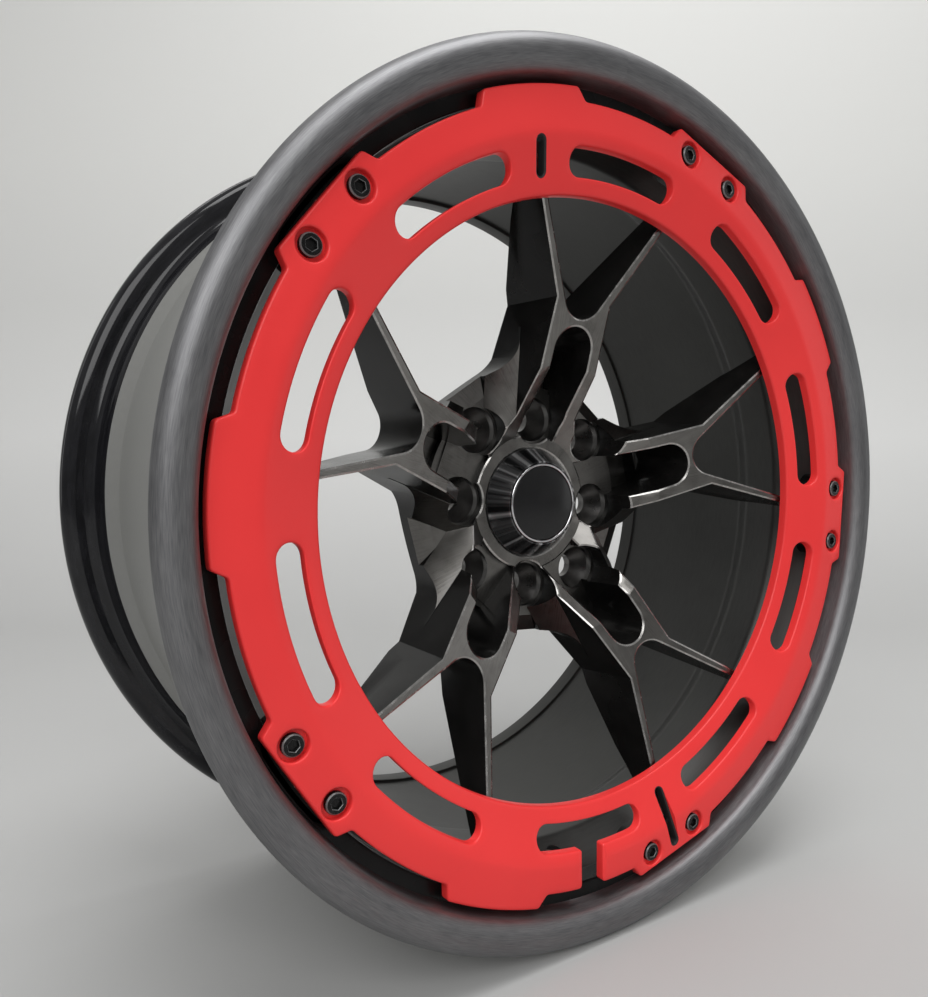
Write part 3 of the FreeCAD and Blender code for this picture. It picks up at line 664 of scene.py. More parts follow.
def valve_axis():
    """Middle of the valve hole and the way it runs, slanting back and out."""
    middle = spot(VALVE_R, VALVE_ANGLE, VALVE_DEPTH)
    turn = math.radians(VALVE_ANGLE)
    return middle, Vector((math.cos(turn), 1.0, math.sin(turn))).normalized()


def drill_valve_hole(piece):
    """Cut the slanting valve hole through the rim's wall."""
    middle, way = valve_axis()
    shell = bmesh.new()
    turn = way.to_track_quat("Z", "Y").to_matrix().to_4x4()
    radius = VALVE_HOLE_R * MM
    bmesh.ops.create_cone(shell, cap_ends=True, segments=BORE_STEPS, radius1=radius, radius2=radius,
                          depth=VALVE_DRILL * MM, matrix=Matrix.Translation(middle) @ turn)
    mesh = bpy.data.meshes.new("valve_drill")
    shell.to_mesh(mesh)
    shell.free()
    drill = bpy.data.objects.new("valve_drill", mesh)
    bpy.context.scene.collection.objects.link(drill)
    cut = piece.modifiers.new("valve_hole", "BOOLEAN")
    cut.operation = "DIFFERENCE"
    cut.solver = "EXACT"
    cut.object = drill
    settle(piece)
    bpy.data.objects.remove(drill)
    bpy.data.meshes.remove(mesh)


def settle(piece):
    """Turn the modifiers of a piece into its own plain mesh."""
    graph = bpy.context.evaluated_depsgraph_get()
    mesh = bpy.data.meshes.new_from_object(piece.evaluated_get(graph))
    old = piece.data
    piece.modifiers.clear()
    piece.data = mesh
    bpy.data.meshes.remove(old)


def make_rim():
    steps = rim_profile()
    piece = lathe("rim", [(r, d) for r, d, zone in steps], RIM_SEGMENTS, [zone for r, d, zone in steps])
    wear(piece, brushed_lip(), recess_black(), outside_painted_reflection(), satin_inside(), flange_black())
    drill_valve_hole(piece)
    shade(piece, 40)
    return piece


# Spokes and hub

EDGE_BREAK = 1.0
EDGE_DROP = 0.5
FACE_FACING = 0.97
EDGE_FACING = 0.3
FOOT_FACING = 0.4
PLATE_REACH = 84.0
SKIN_GAP = 0.12
SKIN_SIDEWAYS = 0.3
VALVE_CLEAR = 3.0
ROOT_DEPTH = 2.0
FLAT_ANGLE = 0.6
FRONT_MARGIN = 1.0
LUG_MARGIN = 0.2
MACHINED, DARK, SEAT, BROKEN, FOOT = range(5)


def on_rim(vertex):
    """Whether a point of the part lies on the turned skin of the rim."""
    radius = math.hypot(vertex.co.x, vertex.co.z) / MM
    depth = vertex.co.y / MM + MOUNT_DEPTH
    return distance_to_profile(radius, depth) < SKIN_GAP


def rim_section_exact():
    """The part's own section of the rim, corners not rounded."""
    def bead(centre, side):
        lean = DIAGONAL * FLANGE_EDGE
        return [
            (LIP_R, centre),
            (FLANGE_EDGE_R + lean, centre + side * lean),
            (FLANGE_ROOT_R, centre + side * FLANGE_EDGE),
            (BEAD_SEAT_R, centre + side * BEAD_SEAT_START),
            (BEAD_FOOT_R, centre + side * BEAD_SEAT_END),
        ]

    path = [(WALL_R, LEDGE_DEPTH), (RECESS_R, LEDGE_DEPTH), (LIP_INNER_R, 0.0)]
    path += arc_points((LIP_INNER_R, 0.0), (LIP_TOP_R, -LIP_BULGE), (LIP_R, 0.0), 4)[:-1] + bead(0.0, 1)
    path += [(WELL_R, WELL_START), (WELL_R, WELL_END), (BARREL_R, BARREL_START), (BARREL_R, BARREL_END)]
    path += bead(RIM_DEPTH, -1)[::-1]
    path += [
        (BACK_EDGE_R, BACK_FACE),
        (BACK_BAND_R, BACK_FACE),
        (BACK_BAND_R, BACK_BAND_START),
        (INNER_BARREL_R, BACK_BAND_START),
        (INNER_BARREL_R, BARREL_START),
        (INNER_WELL_R, WELL_END),
        (INNER_WELL_R, WELL_START),
        (WALL_R, WALL_BACK),
    ]
    return path


SECTION_STARTS = np.array(rim_section_exact())
SECTION_ENDS = np.roll(SECTION_STARTS, -1, axis=0)


def distance_to_profile(radius, depth):
    """Distance in millimetres from a point of the section to the rim's outline."""
    here = np.array((radius, depth))
    run = SECTION_ENDS - SECTION_STARTS
    length = np.maximum((run ** 2).sum(1), 1e-12)
    share = np.clip(((here - SECTION_STARTS) * run).sum(1) / length, 0.0, 1.0)
    nearest = SECTION_STARTS + run * share[:, None]
    return float(np.sqrt(((nearest - here) ** 2).sum(1)).min())


def spoke_front(radius):
    """Depth of the spokes' front faces and of the hub ring."""
    radii = (HUB_RING_R, FACE_CREASE_R, ARM_SEAT_R)
    return float(np.interp(radius, radii, (HUB_FACE_DEPTH, FACE_CREASE_DEPTH, LEDGE_DEPTH)))


def spoke_front_way(place):
    """Way that the front of the spokes looks at a point, leaning in towards the axis."""
    radius = math.hypot(place.x, place.z)
    rise = MM / 2
    ends = [spoke_front((radius + side * rise) / MM) for side in (-1, 1)]
    slope = (ends[0] - ends[1]) * MM / (2 * rise)
    return Vector((-slope * place.x / radius, -1.0, -slope * place.z / radius)).normalized()


def turn_out(shell):
    """Make the faces agree, then turn every closed island whose faces look inwards."""
    bmesh.ops.recalc_face_normals(shell, faces=shell.faces)
    seen = set()
    for first in list(shell.faces):
        if first in seen:
            continue
        seen.add(first)
        island = [first]
        for face in island:
            for other in (f for edge in face.edges for f in edge.link_faces):
                if other not in seen:
                    seen.add(other)
                    island.append(other)
        volume = math.fsum(f.verts[0].co.dot(f.normal) * f.calc_area() for f in island)
        if volume < 0:
            bmesh.ops.reverse_faces(shell, faces=island)


def on_spoke_front(place, way):
    """How squarely a facet looks along the spokes' front, or 0 away from that front."""
    radius = math.hypot(place.x, place.z) / MM
    depth = place.y / MM + MOUNT_DEPTH
    if radius > WALL_R or depth > spoke_front(radius) + FRONT_MARGIN:
        return 0.0
    return way.dot(spoke_front_way(place))


def break_front_edges(shell):
    """Join flat facets and run a narrow chamfer round the machined faces."""
    flat = math.radians(FLAT_ANGLE)
    bmesh.ops.dissolve_limit(shell, angle_limit=flat, verts=shell.verts, edges=shell.edges)
    front = [f for f in shell.faces if on_spoke_front(f.calc_center_median(), f.normal) > FACE_FACING]
    strip = bmesh.ops.inset_region(shell, faces=front, thickness=EDGE_BREAK * MM, depth=0.0,
                                   use_boundary=True)["faces"]
    inner = {v for f in front for v in f.verts}
    for vertex in {v for f in strip for v in f.verts} - inner:
        vertex.co.y += EDGE_DROP * MM
    bmesh.ops.triangulate(shell, faces=[f for f in shell.faces if len(f.verts) > 4])


def grow_open_edges(shell):
    """Grow a face out of every open edge into the rim's wall, edge by edge so that the order is fixed."""
    edges = [e for e in shell.edges if e.is_boundary]
    grown = {}
    for vertex in (v for e in edges for v in e.verts):
        if vertex not in grown:
            outward = Vector((vertex.co.x, 0.0, vertex.co.z)).normalized()
            grown[vertex] = shell.verts.new(vertex.co + outward * ROOT_DEPTH * MM)
    for edge in edges:
        first, second = edge.verts
        shell.faces.new((first, second, grown[second], grown[first]))


def make_spokes():
    """Spokes and hub: a merged copy of the part without its rim skin, closed inside the rim's wall."""
    shell = bmesh.new()
    shell.from_mesh(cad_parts["wheel"].data)
    bmesh.ops.remove_doubles(shell, verts=shell.verts, dist=MERGE_GAP)
    skin = {v for v in shell.verts if on_rim(v)}
    valve = valve_axis()[0]
    gone = []
    for face in shell.faces:
        if not all(v in skin for v in face.verts):
            continue
        middle = face.calc_center_median()
        if (middle - valve).length < VALVE_CLEAR * VALVE_HOLE_R * MM:
            gone.append(face)
            continue
        sideways = Vector((-middle.z, 0.0, middle.x)).normalized()
        if abs(face.normal.dot(sideways)) < SKIN_SIDEWAYS:
            gone.append(face)
    bmesh.ops.delete(shell, geom=gone, context="FACES")
    loose = [v for v in shell.verts if not v.link_faces]
    bmesh.ops.delete(shell, geom=loose, context="VERTS")
    grow_open_edges(shell)
    rest = [e for e in shell.edges if e.is_boundary]
    bmesh.ops.holes_fill(shell, edges=rest, sides=0)
    turn_out(shell)
    break_front_edges(shell)
    shell.verts.index_update()
    points = [v.co.copy() for v in shell.verts]
    faces = [[v.index for v in f.verts] for f in shell.faces]
    shell.free()
    piece = mesh_piece("spokes", points, faces)
    mesh = piece.data
    lug_pitch = 360.0 / LUG_COUNT
    lugs = [spot(LUG_CIRCLES_R[i % 2], SPOKE_ANGLE + lug_pitch * i, 0.0) for i in range(LUG_COUNT)]
    numbers = []
    for polygon in mesh.polygons:
        front = -polygon.normal.y
        middle = polygon.center
        radius = math.hypot(middle.x, middle.z) / MM
        depth = middle.y / MM + MOUNT_DEPTH
        aside = min(math.hypot(middle.x - lug.x, middle.z - lug.z) for lug in lugs) / MM
        facing = on_spoke_front(middle, polygon.normal)
        in_lug = aside < LUG_MOUTH_R + LUG_MARGIN and depth > PLATE_DEPTH - LUG_MARGIN
        if in_lug and front > -FOOT_FACING:
            numbers.append(SEAT)
        elif facing > FACE_FACING:
            numbers.append(MACHINED)
        elif facing > EDGE_FACING:
            # The chamfer strips take the painted edge highlight.
            numbers.append(BROKEN)
        elif front > FACE_FACING and radius < PLATE_REACH and depth < PLATE_DEPTH + FRONT_MARGIN:
            numbers.append(MACHINED)
        elif front > FOOT_FACING and radius < PLATE_REACH:
            numbers.append(FOOT)
        else:
            numbers.append(DARK)
    mesh.polygons.foreach_set("material_index", numbers)
    wear(piece, smoked_face("smoked_face", 1.12), spoke_black(), lug_seat(), painted_edge_highlight(),
         smoked_face("smoked_foot", 0.8))
    shade(piece, 20)
    return piece


# Face ring

def ring_dish(radius, crease):
    """How far the ring falls back at a radius inside its crease, with a soft start."""
    inside_crease = min((crease - radius) / CREASE_SOFT, SOFT_LIMIT)
    return RING_SLOPE * CREASE_SOFT * math.log1p(math.exp(inside_crease))


def ring_front(radius):
    return RING_FRONT + ring_dish(radius, RING_CREASE_R)


def ring_back(radius):
    return RING_BACK + ring_dish(radius, RING_CREASE_R - BACK_CREASE_IN)


def by_valve(angle):
    """Whether an angle is that of the valve gap."""
    return abs((angle - VALVE_ANGLE + 180.0) % 360.0 - 180.0) <= 1.0


def around(radius, start, end, step=0.6):
    """Points along a circle from one angle to another, both included."""
    count = max(2, int(abs(end - start) / step) + 1)
    angles = [start + (end - start) * i / count for i in range(count + 1)]
    return [(radius * math.cos(math.radians(a)), radius * math.sin(math.radians(a))) for a in angles]


def at(radius, angle, across=0.0):
    """Point at a radius and angle, moved sideways counter-clockwise."""
    turn = math.radians(angle)
    out = (math.cos(turn), math.sin(turn))
    return (radius * out[0] - across * out[1], radius * out[1] + across * out[0])


def ring_corners():
    """Outer edge of the ring as corners with their own rounding, with the valve gap and its slot."""
    corners = []

    def plain(points):
        for x, y in points:
            corners.append((x, y, 0.0))

    def corner(point, radius):
        corners.append((point[0], point[1], radius))

    low = TAB_HALF_ANGLE + SHOULDER_ANGLE
    for i in range(TAB_COUNT):
        middle = PAIR_ANGLE + i * TAB_PITCH
        corner(at(NOTCH_R, middle - low), TAB_ROUND)
        corner(at(TAB_R, middle - TAB_HALF_ANGLE), TAB_ROUND)
        if i % 2:
            first = middle - TAB_HALF_ANGLE + TAB_ROUND_ANGLE
            plain(around(TAB_R, first, middle + TAB_HALF_ANGLE - TAB_ROUND_ANGLE))
        corner(at(TAB_R, middle + TAB_HALF_ANGLE), TAB_ROUND)
        corner(at(NOTCH_R, middle + low), TAB_ROUND)
        notch = middle + TAB_PITCH / 2
        span = TAB_PITCH / 2 - low
        first = notch - span + TAB_ROUND_ANGLE
        last = notch + span - TAB_ROUND_ANGLE
        if not by_valve(notch):
            plain(around(NOTCH_R, first, last))
            continue
        half = VALVE_GAP_W / 2
        edge = math.degrees(math.asin(half / NOTCH_R))
        inner = math.degrees(math.asin(half / SLOT_OUTER_R))
        end = SLOT_END_ANGLE
        plain(around(NOTCH_R, first, notch - edge - TAB_ROUND_ANGLE))
        corner(at(NOTCH_R, notch - edge), TAB_ROUND)
        corner(at(SLOT_OUTER_R, notch - inner), GAP_ROUND)
        plain(around(SLOT_OUTER_R, notch - inner - GAP_ROUND_ANGLE, notch - end))
        plain(half_round(notch - end, -1))
        plain(around(SLOT_INNER_R, notch - end, notch + end))
        plain(half_round(notch + end, 1))
        plain(around(SLOT_OUTER_R, notch + end, notch + inner + GAP_ROUND_ANGLE))
        corner(at(SLOT_OUTER_R, notch + inner), GAP_ROUND)
        corner(at(NOTCH_R, notch + edge), TAB_ROUND)
        plain(around(NOTCH_R, notch + edge + TAB_ROUND_ANGLE, last))
    return corners


def half_round(angle, side):
    """Round end of a slot without its two end points, from outside in (-1) or inside out (1)."""
    points = []
    for i in range(1, SLOT_END_STEPS):
        turn = math.pi * i / SLOT_END_STEPS
        out = SLOT_TIP_R * math.cos(turn)
        points.append(at(SLOT_MIDDLE_R + out, angle, side * SLOT_TIP_R * math.sin(turn)))
    return points if side < 0 else points[::-1]


def slot_loop(angle):
    end = SLOT_END_ANGLE
    loop = around(SLOT_OUTER_R, angle + end, angle - end)
    loop += half_round(angle - end, -1)
    loop += around(SLOT_INNER_R, angle - end, angle + end)
    loop += half_round(angle + end, 1)
    return loop


def groove_loop(angle, outer):
    half = GROOVE_W / 2
    turns = [math.pi * i / GROOVE_END_STEPS for i in range(GROOVE_END_STEPS + 1)]
    far = [at(outer - half + half * math.sin(t), angle, half * math.cos(t)) for t in turns]
    return far + [at(GROOVE_INNER_R + half - half * math.sin(t), angle, -half * math.cos(t)) for t in turns]


def circle_loop(centre, radius, steps):
    turns = [2 * math.pi * i / steps for i in range(steps)]
    return [(centre[0] + radius * math.cos(t), centre[1] + radius * math.sin(t)) for t in turns]


def screw_angles():
    pitch = 360.0 / PAIR_COUNT
    return [PAIR_ANGLE + i * pitch + side * PAIR_HALF_ANGLE for i in range(PAIR_COUNT) for side in (-1, 1)]


def signed_area(loop):
    pts = np.array(loop)
    nxt = np.roll(pts, -1, axis=0)
    return float((pts[:, 0] * nxt[:, 1] - nxt[:, 0] * pts[:, 1]).sum() / 2)


def moved_in(loop, distance):
    """Loop shifted into the material, which lies to the left of a counter-clockwise outer loop."""
    pts = np.array(loop)
    before = pts - np.roll(pts, 1, axis=0)
    after = np.roll(pts, -1, axis=0) - pts
    unit = before / np.linalg.norm(before, axis=1)[:, None] + after / np.linalg.norm(after, axis=1)[:, None]
    unit /= np.linalg.norm(unit, axis=1)[:, None]
    left = np.stack([-unit[:, 1], unit[:, 0]], axis=1)
    return pts + left * distance


def inside(loop, points):
    """Which points lie inside a loop, by counting crossings."""
    result = np.zeros(len(points), bool)
    x, y = points[:, 0], points[:, 1]
    ring = np.array(loop)
    for (ax, ay), (bx, by) in zip(ring, np.roll(ring, -1, axis=0)):
        if ay == by:
            continue
        crosses = ((ay > y) != (by > y)) & (x < (bx - ax) * (y - ay) / (by - ay) + ax)
        result ^= crosses
    return result


def without_doubles(loop):
    return [p for i, p in enumerate(loop) if math.dist(p, loop[i - 1]) > SHORTEST_STEP]


def clear_of(loops, points, gap):
    """The points that lie further than the gap from every point of the loops."""
    keep = np.ones(len(points), bool)
    for loop in loops:
        for spot_xy in np.array(loop):
            keep &= ((points - spot_xy) ** 2).sum(1) > gap * gap
    return points[keep]


def filled(outer, holes, extra):
    """Triangles of the flat region between the outer loop and its holes; returns points and faces."""
    loops = [outer] + holes
    points = []
    edges = []
    for loop in loops:
        first = len(points)
        points += [Vector((float(x), float(y))) for x, y in loop]
        edges += [(first + i, first + (i + 1) % len(loop)) for i in range(len(loop))]
    points += [Vector((float(x), float(y))) for x, y in extra]
    found, _, faces, _, _, _ = delaunay_2d_cdt(points, edges, [], 0, 1e-7)
    flat = np.array([tuple(p) for p in found])
    middles = np.array([flat[list(f)].mean(0) for f in faces])
    keep = inside(outer, middles)
    for hole in holes:
        keep &= ~inside(hole, middles)
    return flat, [tuple(f) for f, k in zip(faces, keep) if k]


def make_ring():
    """Painted ring: a triangulated front and back with rounded edges between."""
    corners = ring_corners()
    clean = without_doubles([tuple(p) for p in rounded_loop(corners, ROUND_STEPS)])
    holes = [around(RING_INNER_R, 360.0, 0.0)[:-1]]
    for i in range(TAB_COUNT):
        angle = SPOKE_ANGLE + i * TAB_PITCH
        if not by_valve(angle):
            holes.append(slot_loop(angle))
    holes.append(groove_loop(SHORT_GROOVE_ANGLE, RING_CREASE_R - GROOVE_CREASE_GAP))
    holes.append(groove_loop(LONG_GROOVE_ANGLE, NOTCH_R))
    grooves = (len(holes) - 1, len(holes))
    loops = [clean if signed_area(clean) > 0 else clean[::-1]]
    for hole in holes:
        tidy = without_doubles(hole)
        loops.append(tidy if signed_area(tidy) < 0 else tidy[::-1])
    bores = [at(SCREW_CIRCLE_R, angle) for angle in screw_angles()]
    wide = [circle_loop(centre, COUNTERBORE_R, BORE_STEPS)[::-1] for centre in bores]
    narrow = [circle_loop(centre, SCREW_HOLE_R, BORE_STEPS)[::-1] for centre in bores]
    return ring_from_loops(loops, wide, narrow, grooves)


def ring_from_loops(loops, wide, narrow, grooves):
    """Ring solid from its through loops and the wide and narrow circles of its counterbores."""
    shell = bmesh.new()
    rows_front = []
    for loop in loops + wide:
        rows = []
        for turn in RING_EDGE_TURNS:
            inset = RING_EDGE * (1.0 - math.sin(math.radians(turn)))
            drop = RING_EDGE * (1.0 - math.cos(math.radians(turn)))
            rows.append((moved_in(loop, inset), drop))
        rows_front.append(rows)

    grid = []
    radius = RING_INNER_R + GRID_START
    while radius < TAB_R:
        count = int(2 * math.pi * radius / GRID_ALONG)
        grid += [at(radius, 360.0 * (i + 0.5 * (len(grid) % 2)) / count) for i in range(count)]
        by_crease = abs(radius - RING_CREASE_R) < GRID_CREASE_REACH
        radius += GRID_CREASE_ACROSS if by_crease else GRID_ACROSS
    grid = np.array(grid)

    def cap(rows, depth_of, flip):
        outer = rows[0]
        inner = rows[1:]
        extra = grid[inside(outer, grid)]
        for hole in inner:
            extra = extra[~inside(hole, extra)]
        extra = clear_of(rows, extra, GRID_CLEAR)
        flat, faces = filled(outer, inner, extra)
        verts = [shell.verts.new(spot_xz(x, z, depth_of(math.hypot(x, z)))) for x, z in flat]
        for face in faces:
            order = face[::-1] if flip else face
            try:
                shell.faces.new([verts[i] for i in order])
            except ValueError:
                continue

    cap([rows[0][0] for rows in rows_front], ring_front, False)
    cap(loops + narrow, ring_back, True)
    for i, (loop, rows) in enumerate(zip(loops + wide, rows_front)):
        levels = [[spot_xz(x, z, ring_front(math.hypot(x, z)) + drop) for x, z in pts] for pts, drop in rows]
        if i >= len(loops):
            levels.append([spot_xz(x, z, COUNTERBORE_FLOOR) for x, z in loop])
            loop = narrow[i - len(loops)]
            levels.append([spot_xz(x, z, COUNTERBORE_FLOOR) for x, z in loop])
        levels.append([spot_xz(x, z, ring_back(math.hypot(x, z))) for x, z in loop])
        dark = i in grooves
        made = [[shell.verts.new(p) for p in level] for level in levels]
        for upper, lower in zip(made, made[1:]):
            for k in range(len(upper)):
                j = (k + 1) % len(upper)
                wall = shell.faces.new((upper[k], upper[j], lower[j], lower[k]))
                wall.material_index = 1 if dark else 0
    bmesh.ops.remove_doubles(shell, verts=shell.verts, dist=MERGE_GAP)
    bmesh.ops.recalc_face_normals(shell, faces=shell.faces)
    mesh = bpy.data.meshes.new("face_ring_painted")
    shell.to_mesh(mesh)
    shell.free()
    piece = bpy.data.objects.new("face_ring_painted", mesh)
    bpy.context.scene.collection.objects.link(piece)
    shade(piece, 40)
    wear(piece, red_paint(), matt_black("groove_black"))
    return piece


def spot_xz(x, z, depth):
    return Vector((x, depth - MOUNT_DEPTH, z)) * MM


# Screws

def screw_mesh():
    """One socket head screw on the axis, rings of points joined from the socket's floor to the tip."""
    count = SCREW_STEPS
    top = COUNTERBORE_FLOOR - HEAD_HEIGHT
    tip = COUNTERBORE_FLOOR + SCREW_GRIP
    turns = [2 * math.pi * i / count for i in range(count)]

    def hexagon(grow):
        flat = SOCKET_FLATS / 2 + grow
        return [flat / math.cos((t + math.pi / 6) % (math.pi / 3) - math.pi / 6) for t in turns]

    rings = [
        (hexagon(0.0), top + SOCKET_DEPTH),
        (hexagon(0.0), top + SOCKET_CHAMFER),
        (hexagon(SOCKET_CHAMFER), top),
        ([HEAD_R - HEAD_CHAMFER] * count, top),
        ([HEAD_R - 0.2] * count, top + HEAD_CHAMFER - 0.25),
        ([HEAD_R] * count, top + HEAD_CHAMFER + 0.1),
        ([HEAD_R] * count, COUNTERBORE_FLOOR),
        ([SCREW_R] * count, COUNTERBORE_FLOOR),
        ([SCREW_R] * count, tip - TIP_CHAMFER),
        ([SCREW_R - TIP_CHAMFER] * count, tip),
    ]
    points = [(0.0, rings[0][1], 0.0), (0.0, tip, 0.0)]
    for radii, depth in rings:
        points += [(r * math.cos(t), depth, r * math.sin(t)) for r, t in zip(radii, turns)]
    faces = []
    last = 2 + (len(rings) - 1) * count
    for i in range(count):
        j = (i + 1) % count
        faces.append((0, 2 + i, 2 + j))
        faces.append((1, last + j, last + i))
        for k in range(len(rings) - 1):
            a = 2 + k * count
            faces.append((a + i, a + count + i, a + count + j, a + j))
    return mesh_piece("screw", [Vector((x, d - MOUNT_DEPTH, z)) * MM for x, d, z in points], faces)


def screws_group(screw, material):
    """Geometry nodes: a screw on every point, each turned a little about its own axis."""
    group = bpy.data.node_groups.new("screws_on_points", "GeometryNodeTree")
    group.interface.new_socket("Geometry", in_out="INPUT", socket_type="NodeSocketGeometry")
    largest = group.interface.new_socket("Largest turn", in_out="INPUT", socket_type="NodeSocketFloat")
    group.interface.new_socket("Geometry", in_out="OUTPUT", socket_type="NodeSocketGeometry")
    start = group.nodes.new("NodeGroupInput")
    end = group.nodes.new("NodeGroupOutput")
    info = group.nodes.new("GeometryNodeObjectInfo")
    info.inputs["Object"].default_value = screw
    chance = group.nodes.new("FunctionNodeRandomValue")
    chance.data_type = "FLOAT"
    chance.inputs["Seed"].default_value = SCREW_SEED
    turn = group.nodes.new("ShaderNodeCombineXYZ")
    place = group.nodes.new("GeometryNodeInstanceOnPoints")
    real = group.nodes.new("GeometryNodeRealizeInstances")
    paint = group.nodes.new("GeometryNodeSetMaterial")
    paint.inputs["Material"].default_value = material
    join = group.links.new
    join(start.outputs["Geometry"], place.inputs["Points"])
    join(info.outputs["Geometry"], place.inputs["Instance"])
    most = [s for s in chance.inputs if s.name == "Max" and s.type == "VALUE"][0]
    value = [s for s in chance.outputs if s.type == "VALUE"][0]
    join(start.outputs["Largest turn"], most)
    join(value, turn.inputs["Y"])
    join(turn.outputs[0], place.inputs["Rotation"])
    join(place.outputs["Instances"], real.inputs["Geometry"])
    join(real.outputs["Geometry"], paint.inputs["Geometry"])
    join(paint.outputs["Geometry"], end.inputs["Geometry"])
    return group, largest.identifier


def make_screws():
    screw = screw_mesh()
    face_outwards(screw)
    centres = [at(SCREW_CIRCLE_R, angle) for angle in screw_angles()]
    carrier = mesh_piece("ring_screws_socket", [Vector((x, 0.0, z)) * MM for x, z in centres], [])
    group, largest = screws_group(screw, black_oxide())
    modifier = carrier.modifiers.new("screws", "NODES")
    modifier.node_group = group
    modifier[largest] = math.radians(SCREW_LARGEST_TURN)
    settle(carrier)
    mesh = screw.data
    bpy.data.objects.remove(screw)
    bpy.data.meshes.remove(mesh)
    shade(carrier, 30)
    return carrier


# Centre cap

def make_cap_body():
    """Cone with a rounded rim in front and a skirt behind."""
    inside_r = CAP_SKIRT_R - CAP_WALL
    profile = [
        (0.0, CAP_FLOOR_DEPTH),
        (BEZEL_SEAT_R - 0.2, CAP_FLOOR_DEPTH),
        (BEZEL_SEAT_R, CAP_FLOOR_DEPTH - 0.2),
        (BEZEL_SEAT_R, CAP_TOP_DEPTH + 0.2),
        (BEZEL_SEAT_R + 0.2, CAP_TOP_DEPTH),
        (CAP_TOP_R - 0.25, CAP_TOP_DEPTH),
        (CAP_TOP_R + 0.05, CAP_TOP_DEPTH + 0.12),
        (CAP_TOP_R + 0.3, CAP_TOP_DEPTH + 0.45),
        (CAP_SEAT_R - 0.35, HUB_FACE_DEPTH - 0.5),
        (CAP_SEAT_R - 0.1, HUB_FACE_DEPTH - 0.1),
        (CAP_SEAT_R, HUB_FACE_DEPTH + 0.3),
        (CAP_SEAT_R, CAP_SEAT_DEPTH),
        (CAP_SKIRT_R, CAP_SEAT_DEPTH),
        (CAP_SKIRT_R, CAP_TAIL_DEPTH),
        (inside_r, CAP_TAIL_DEPTH),
        (inside_r, HUB_FACE_DEPTH),
        (BEZEL_SEAT_R - CAP_WALL, CAP_ROOF_DEPTH),
        (0.0, CAP_ROOF_DEPTH),
    ]
    piece = disc_lathe("cap_cone", profile, CAP_SEGMENTS)
    numbers = []
    for polygon in piece.data.polygons:
        behind = polygon.center.y / MM + MOUNT_DEPTH > HUB_FACE_DEPTH
        numbers.append(int(behind or polygon.normal.y > CAP_BACK_FACING))
    piece.data.polygons.foreach_set("material_index", numbers)
    shade(piece, 30)
    wear(piece, dark_chrome(), matt_black("cap_back"))
    return piece


def make_cap_disc():
    """Softly domed disc."""
    dome = DISC_EDGE_DEPTH - DISC_CROWN_DEPTH
    profile = [(0.0, DISC_CROWN_DEPTH)]
    for i in range(1, DISC_STEPS + 1):
        radius = (DISC_R - DISC_EDGE_ROUND) * i / DISC_STEPS
        profile.append((radius, DISC_CROWN_DEPTH + dome * (i / DISC_STEPS) ** 2))
    profile += [(DISC_R, DISC_EDGE_DEPTH + DISC_EDGE_ROUND), (DISC_R, CAP_FLOOR_DEPTH), (0.0, CAP_FLOOR_DEPTH)]
    piece = disc_lathe("cap_disc_black", profile, DISC_SEGMENTS)
    shade(piece, 30)
    wear(piece, cap_black())
    return piece


def make_cap_bezel():
    """Bright trim ring with a rounded front."""
    middle = (BEZEL_INNER_R + BEZEL_OUTER_R) / 2
    front = arc_points((BEZEL_OUTER_R, CAP_TOP_DEPTH), (middle, CAP_TOP_DEPTH - BEZEL_PROUD),
                       (BEZEL_INNER_R, CAP_TOP_DEPTH), BEZEL_STEPS)
    foot = [(BEZEL_INNER_R, CAP_FLOOR_DEPTH), (BEZEL_OUTER_R, CAP_FLOOR_DEPTH)]
    profile = foot + [(BEZEL_OUTER_R, CAP_TOP_DEPTH)] + front
    piece = lathe("cap_bezel_bright", profile, CAP_SEGMENTS)
    shade(piece, 40)
    wear(piece, bright_chrome())
    return piece


# Camera, floor and light

def make_camera():
    data = bpy.data.cameras.new("camera")
    camera = bpy.data.objects.new("camera", data)
    bpy.context.scene.collection.objects.link(camera)
    right = Vector((0.81119, -0.58478, 0.0))
    up = Vector((0.04467, 0.06196, 0.99708))
    back = Vector((-0.58307, -0.80882, 0.07638))
    place = Vector((-0.31309, -0.43472, 0.02654))
    camera.matrix_world = Matrix((
        (right.x, up.x, back.x, place.x),
        (right.y, up.y, back.y, place.y),
        (right.z, up.z, back.z, place.z),
        (0.0, 0.0, 0.0, 1.0),
    ))
    data.sensor_width = SENSOR_W
    data.lens = FOCAL_LENGTH * SENSOR_W / PICTURE_H
    data.shift_x = SHIFT_ACROSS / PICTURE_H
    data.shift_y = SHIFT_UP / PICTURE_H
    data.clip_start = 0.01
    bpy.context.scene.camera = camera


def make_world():
    """Pale room: brighter above, darker below."""
    world = bpy.data.worlds.new("room")
    bpy.context.scene.world = world
    world.use_nodes = True
    tree = world.node_tree
    place = tree.nodes.new("ShaderNodeTexCoord")
    split = tree.nodes.new("ShaderNodeSeparateXYZ")
    ramp = tree.nodes.new("ShaderNodeValToRGB")
    lift = tree.nodes.new("ShaderNodeMapRange")
    tree.links.new(place.outputs["Generated"], split.inputs[0])
    tree.links.new(split.outputs["Z"], lift.inputs["Value"])
    lift.inputs["From Min"].default_value = -1.0
    lift.inputs["From Max"].default_value = 1.0
    tree.links.new(lift.outputs["Result"], ramp.inputs["Fac"])
    ramp.color_ramp.elements[0].position = 0.35
    ramp.color_ramp.elements[0].color = (0.30, 0.30, 0.30, 1.0)
    ramp.color_ramp.elements[1].position = 0.85
    ramp.color_ramp.elements[1].color = (0.95, 0.95, 0.95, 1.0)
    back = tree.nodes["Background"]
    tree.links.new(ramp.outputs["Color"], back.inputs["Color"])
    back.inputs["Strength"].default_value = WORLD_LEVEL


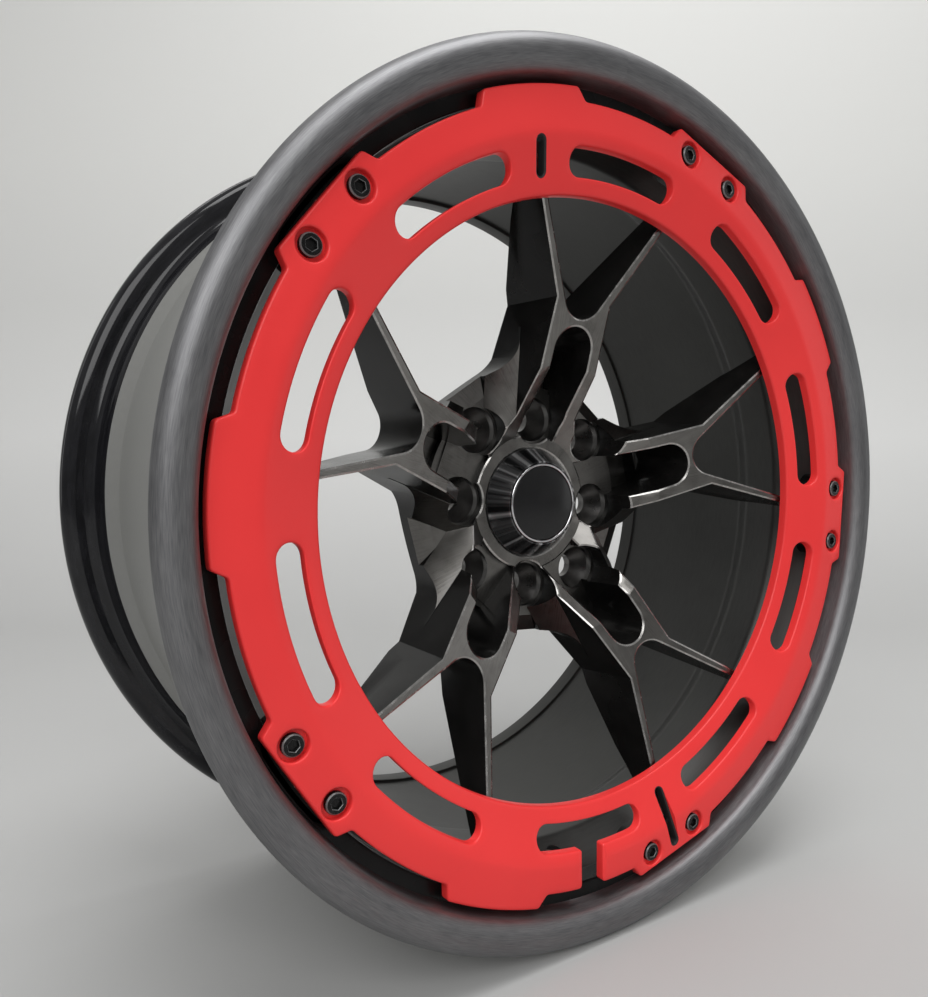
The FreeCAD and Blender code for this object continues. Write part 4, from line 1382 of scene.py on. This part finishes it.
def make_light(name, place, width, height, power):
    """Flat rectangular lamp that looks at the middle of the wheel."""
    data = bpy.data.lights.new(name, "AREA")
    data.shape = "RECTANGLE"
    data.size = width
    data.size_y = height
    data.energy = power
    lamp = bpy.data.objects.new(name, data)
    bpy.context.scene.collection.objects.link(lamp)
    lamp.location = place
    way = -Vector(place)
    lamp.rotation_euler = way.to_track_quat("-Z", "Y").to_euler()


def make_backdrop():
    """Floor that curves up into a wall behind the wheel, one pale sheet."""
    away = Vector((0.5848, 0.8112, 0.0))
    side = Vector((0.8112, -0.5848, 0.0))
    ground = -LIP_R * MM
    line = [(BACKDROP_FRONT, 0.0), (BACKDROP_REACH, 0.0)]
    for i in range(1, BACKDROP_STEPS + 1):
        turn = math.radians(90.0 * i / BACKDROP_STEPS)
        along = BACKDROP_REACH + BACKDROP_BEND * math.sin(turn)
        line.append((along, BACKDROP_BEND * (1.0 - math.cos(turn))))
    line.append((BACKDROP_REACH + BACKDROP_BEND, BACKDROP_TOP))
    points = []
    for along, height in line:
        for across in (-BACKDROP_HALF_W, BACKDROP_HALF_W):
            points.append(away * along + side * across + Vector((0.0, 0.0, ground + height)))
    faces = [(2 * i, 2 * i + 1, 2 * i + 3, 2 * i + 2) for i in range(len(line) - 1)]
    sheet = mesh_piece("backdrop", points, faces)
    shade(sheet, 40)
    finish = Finish("backdrop_paint", (0.6, 0.6, 0.585), 0.0, 0.75)
    grain = finish.math("MULTIPLY", finish.noise(finish.place.outputs["Object"], 1.4, 2.0), 0.1)
    # Colour rises with height from a darker grey on the floor to a lighter wall: painted shade low down and
    # painted light higher up, over a faint random grain.
    height = finish.mapped(finish.split()[2], ground, ground + BACKDROP_FADE, 0.0, BACKDROP_FADE)
    finish.ramp_colour(finish.math("ADD", height, grain), [
        (0.0, (0.42, 0.42, 0.415)), (0.35, (0.64, 0.64, 0.63)), (1.0, (0.72, 0.72, 0.70))])
    wear(sheet, finish.material)


make_camera()
rim = make_rim()
spokes = make_spokes()
ring = make_ring()
screws = make_screws()
cap_body = make_cap_body()
cap_disc = make_cap_disc()
cap_bezel = make_cap_bezel()
pieces = [
    (rim, "wheel", "wheel_metal"),
    (spokes, "wheel", "wheel_metal"),
    (ring, "face_ring", "ring_red"),
    (screws, "ring_screws", "black_steel"),
    (cap_body, "cap_body", "dark_chrome"),
    (cap_disc, "cap_disc", "cap_black"),
    (cap_bezel, "cap_bezel", "bright_chrome"),
]
for piece, node, slot in pieces:
    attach(piece, "root")
    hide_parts(node)

make_world()
make_backdrop()
for lamp in LAMPS:
    make_light(*lamp)
bpy.context.scene.view_settings.view_transform = "Standard"
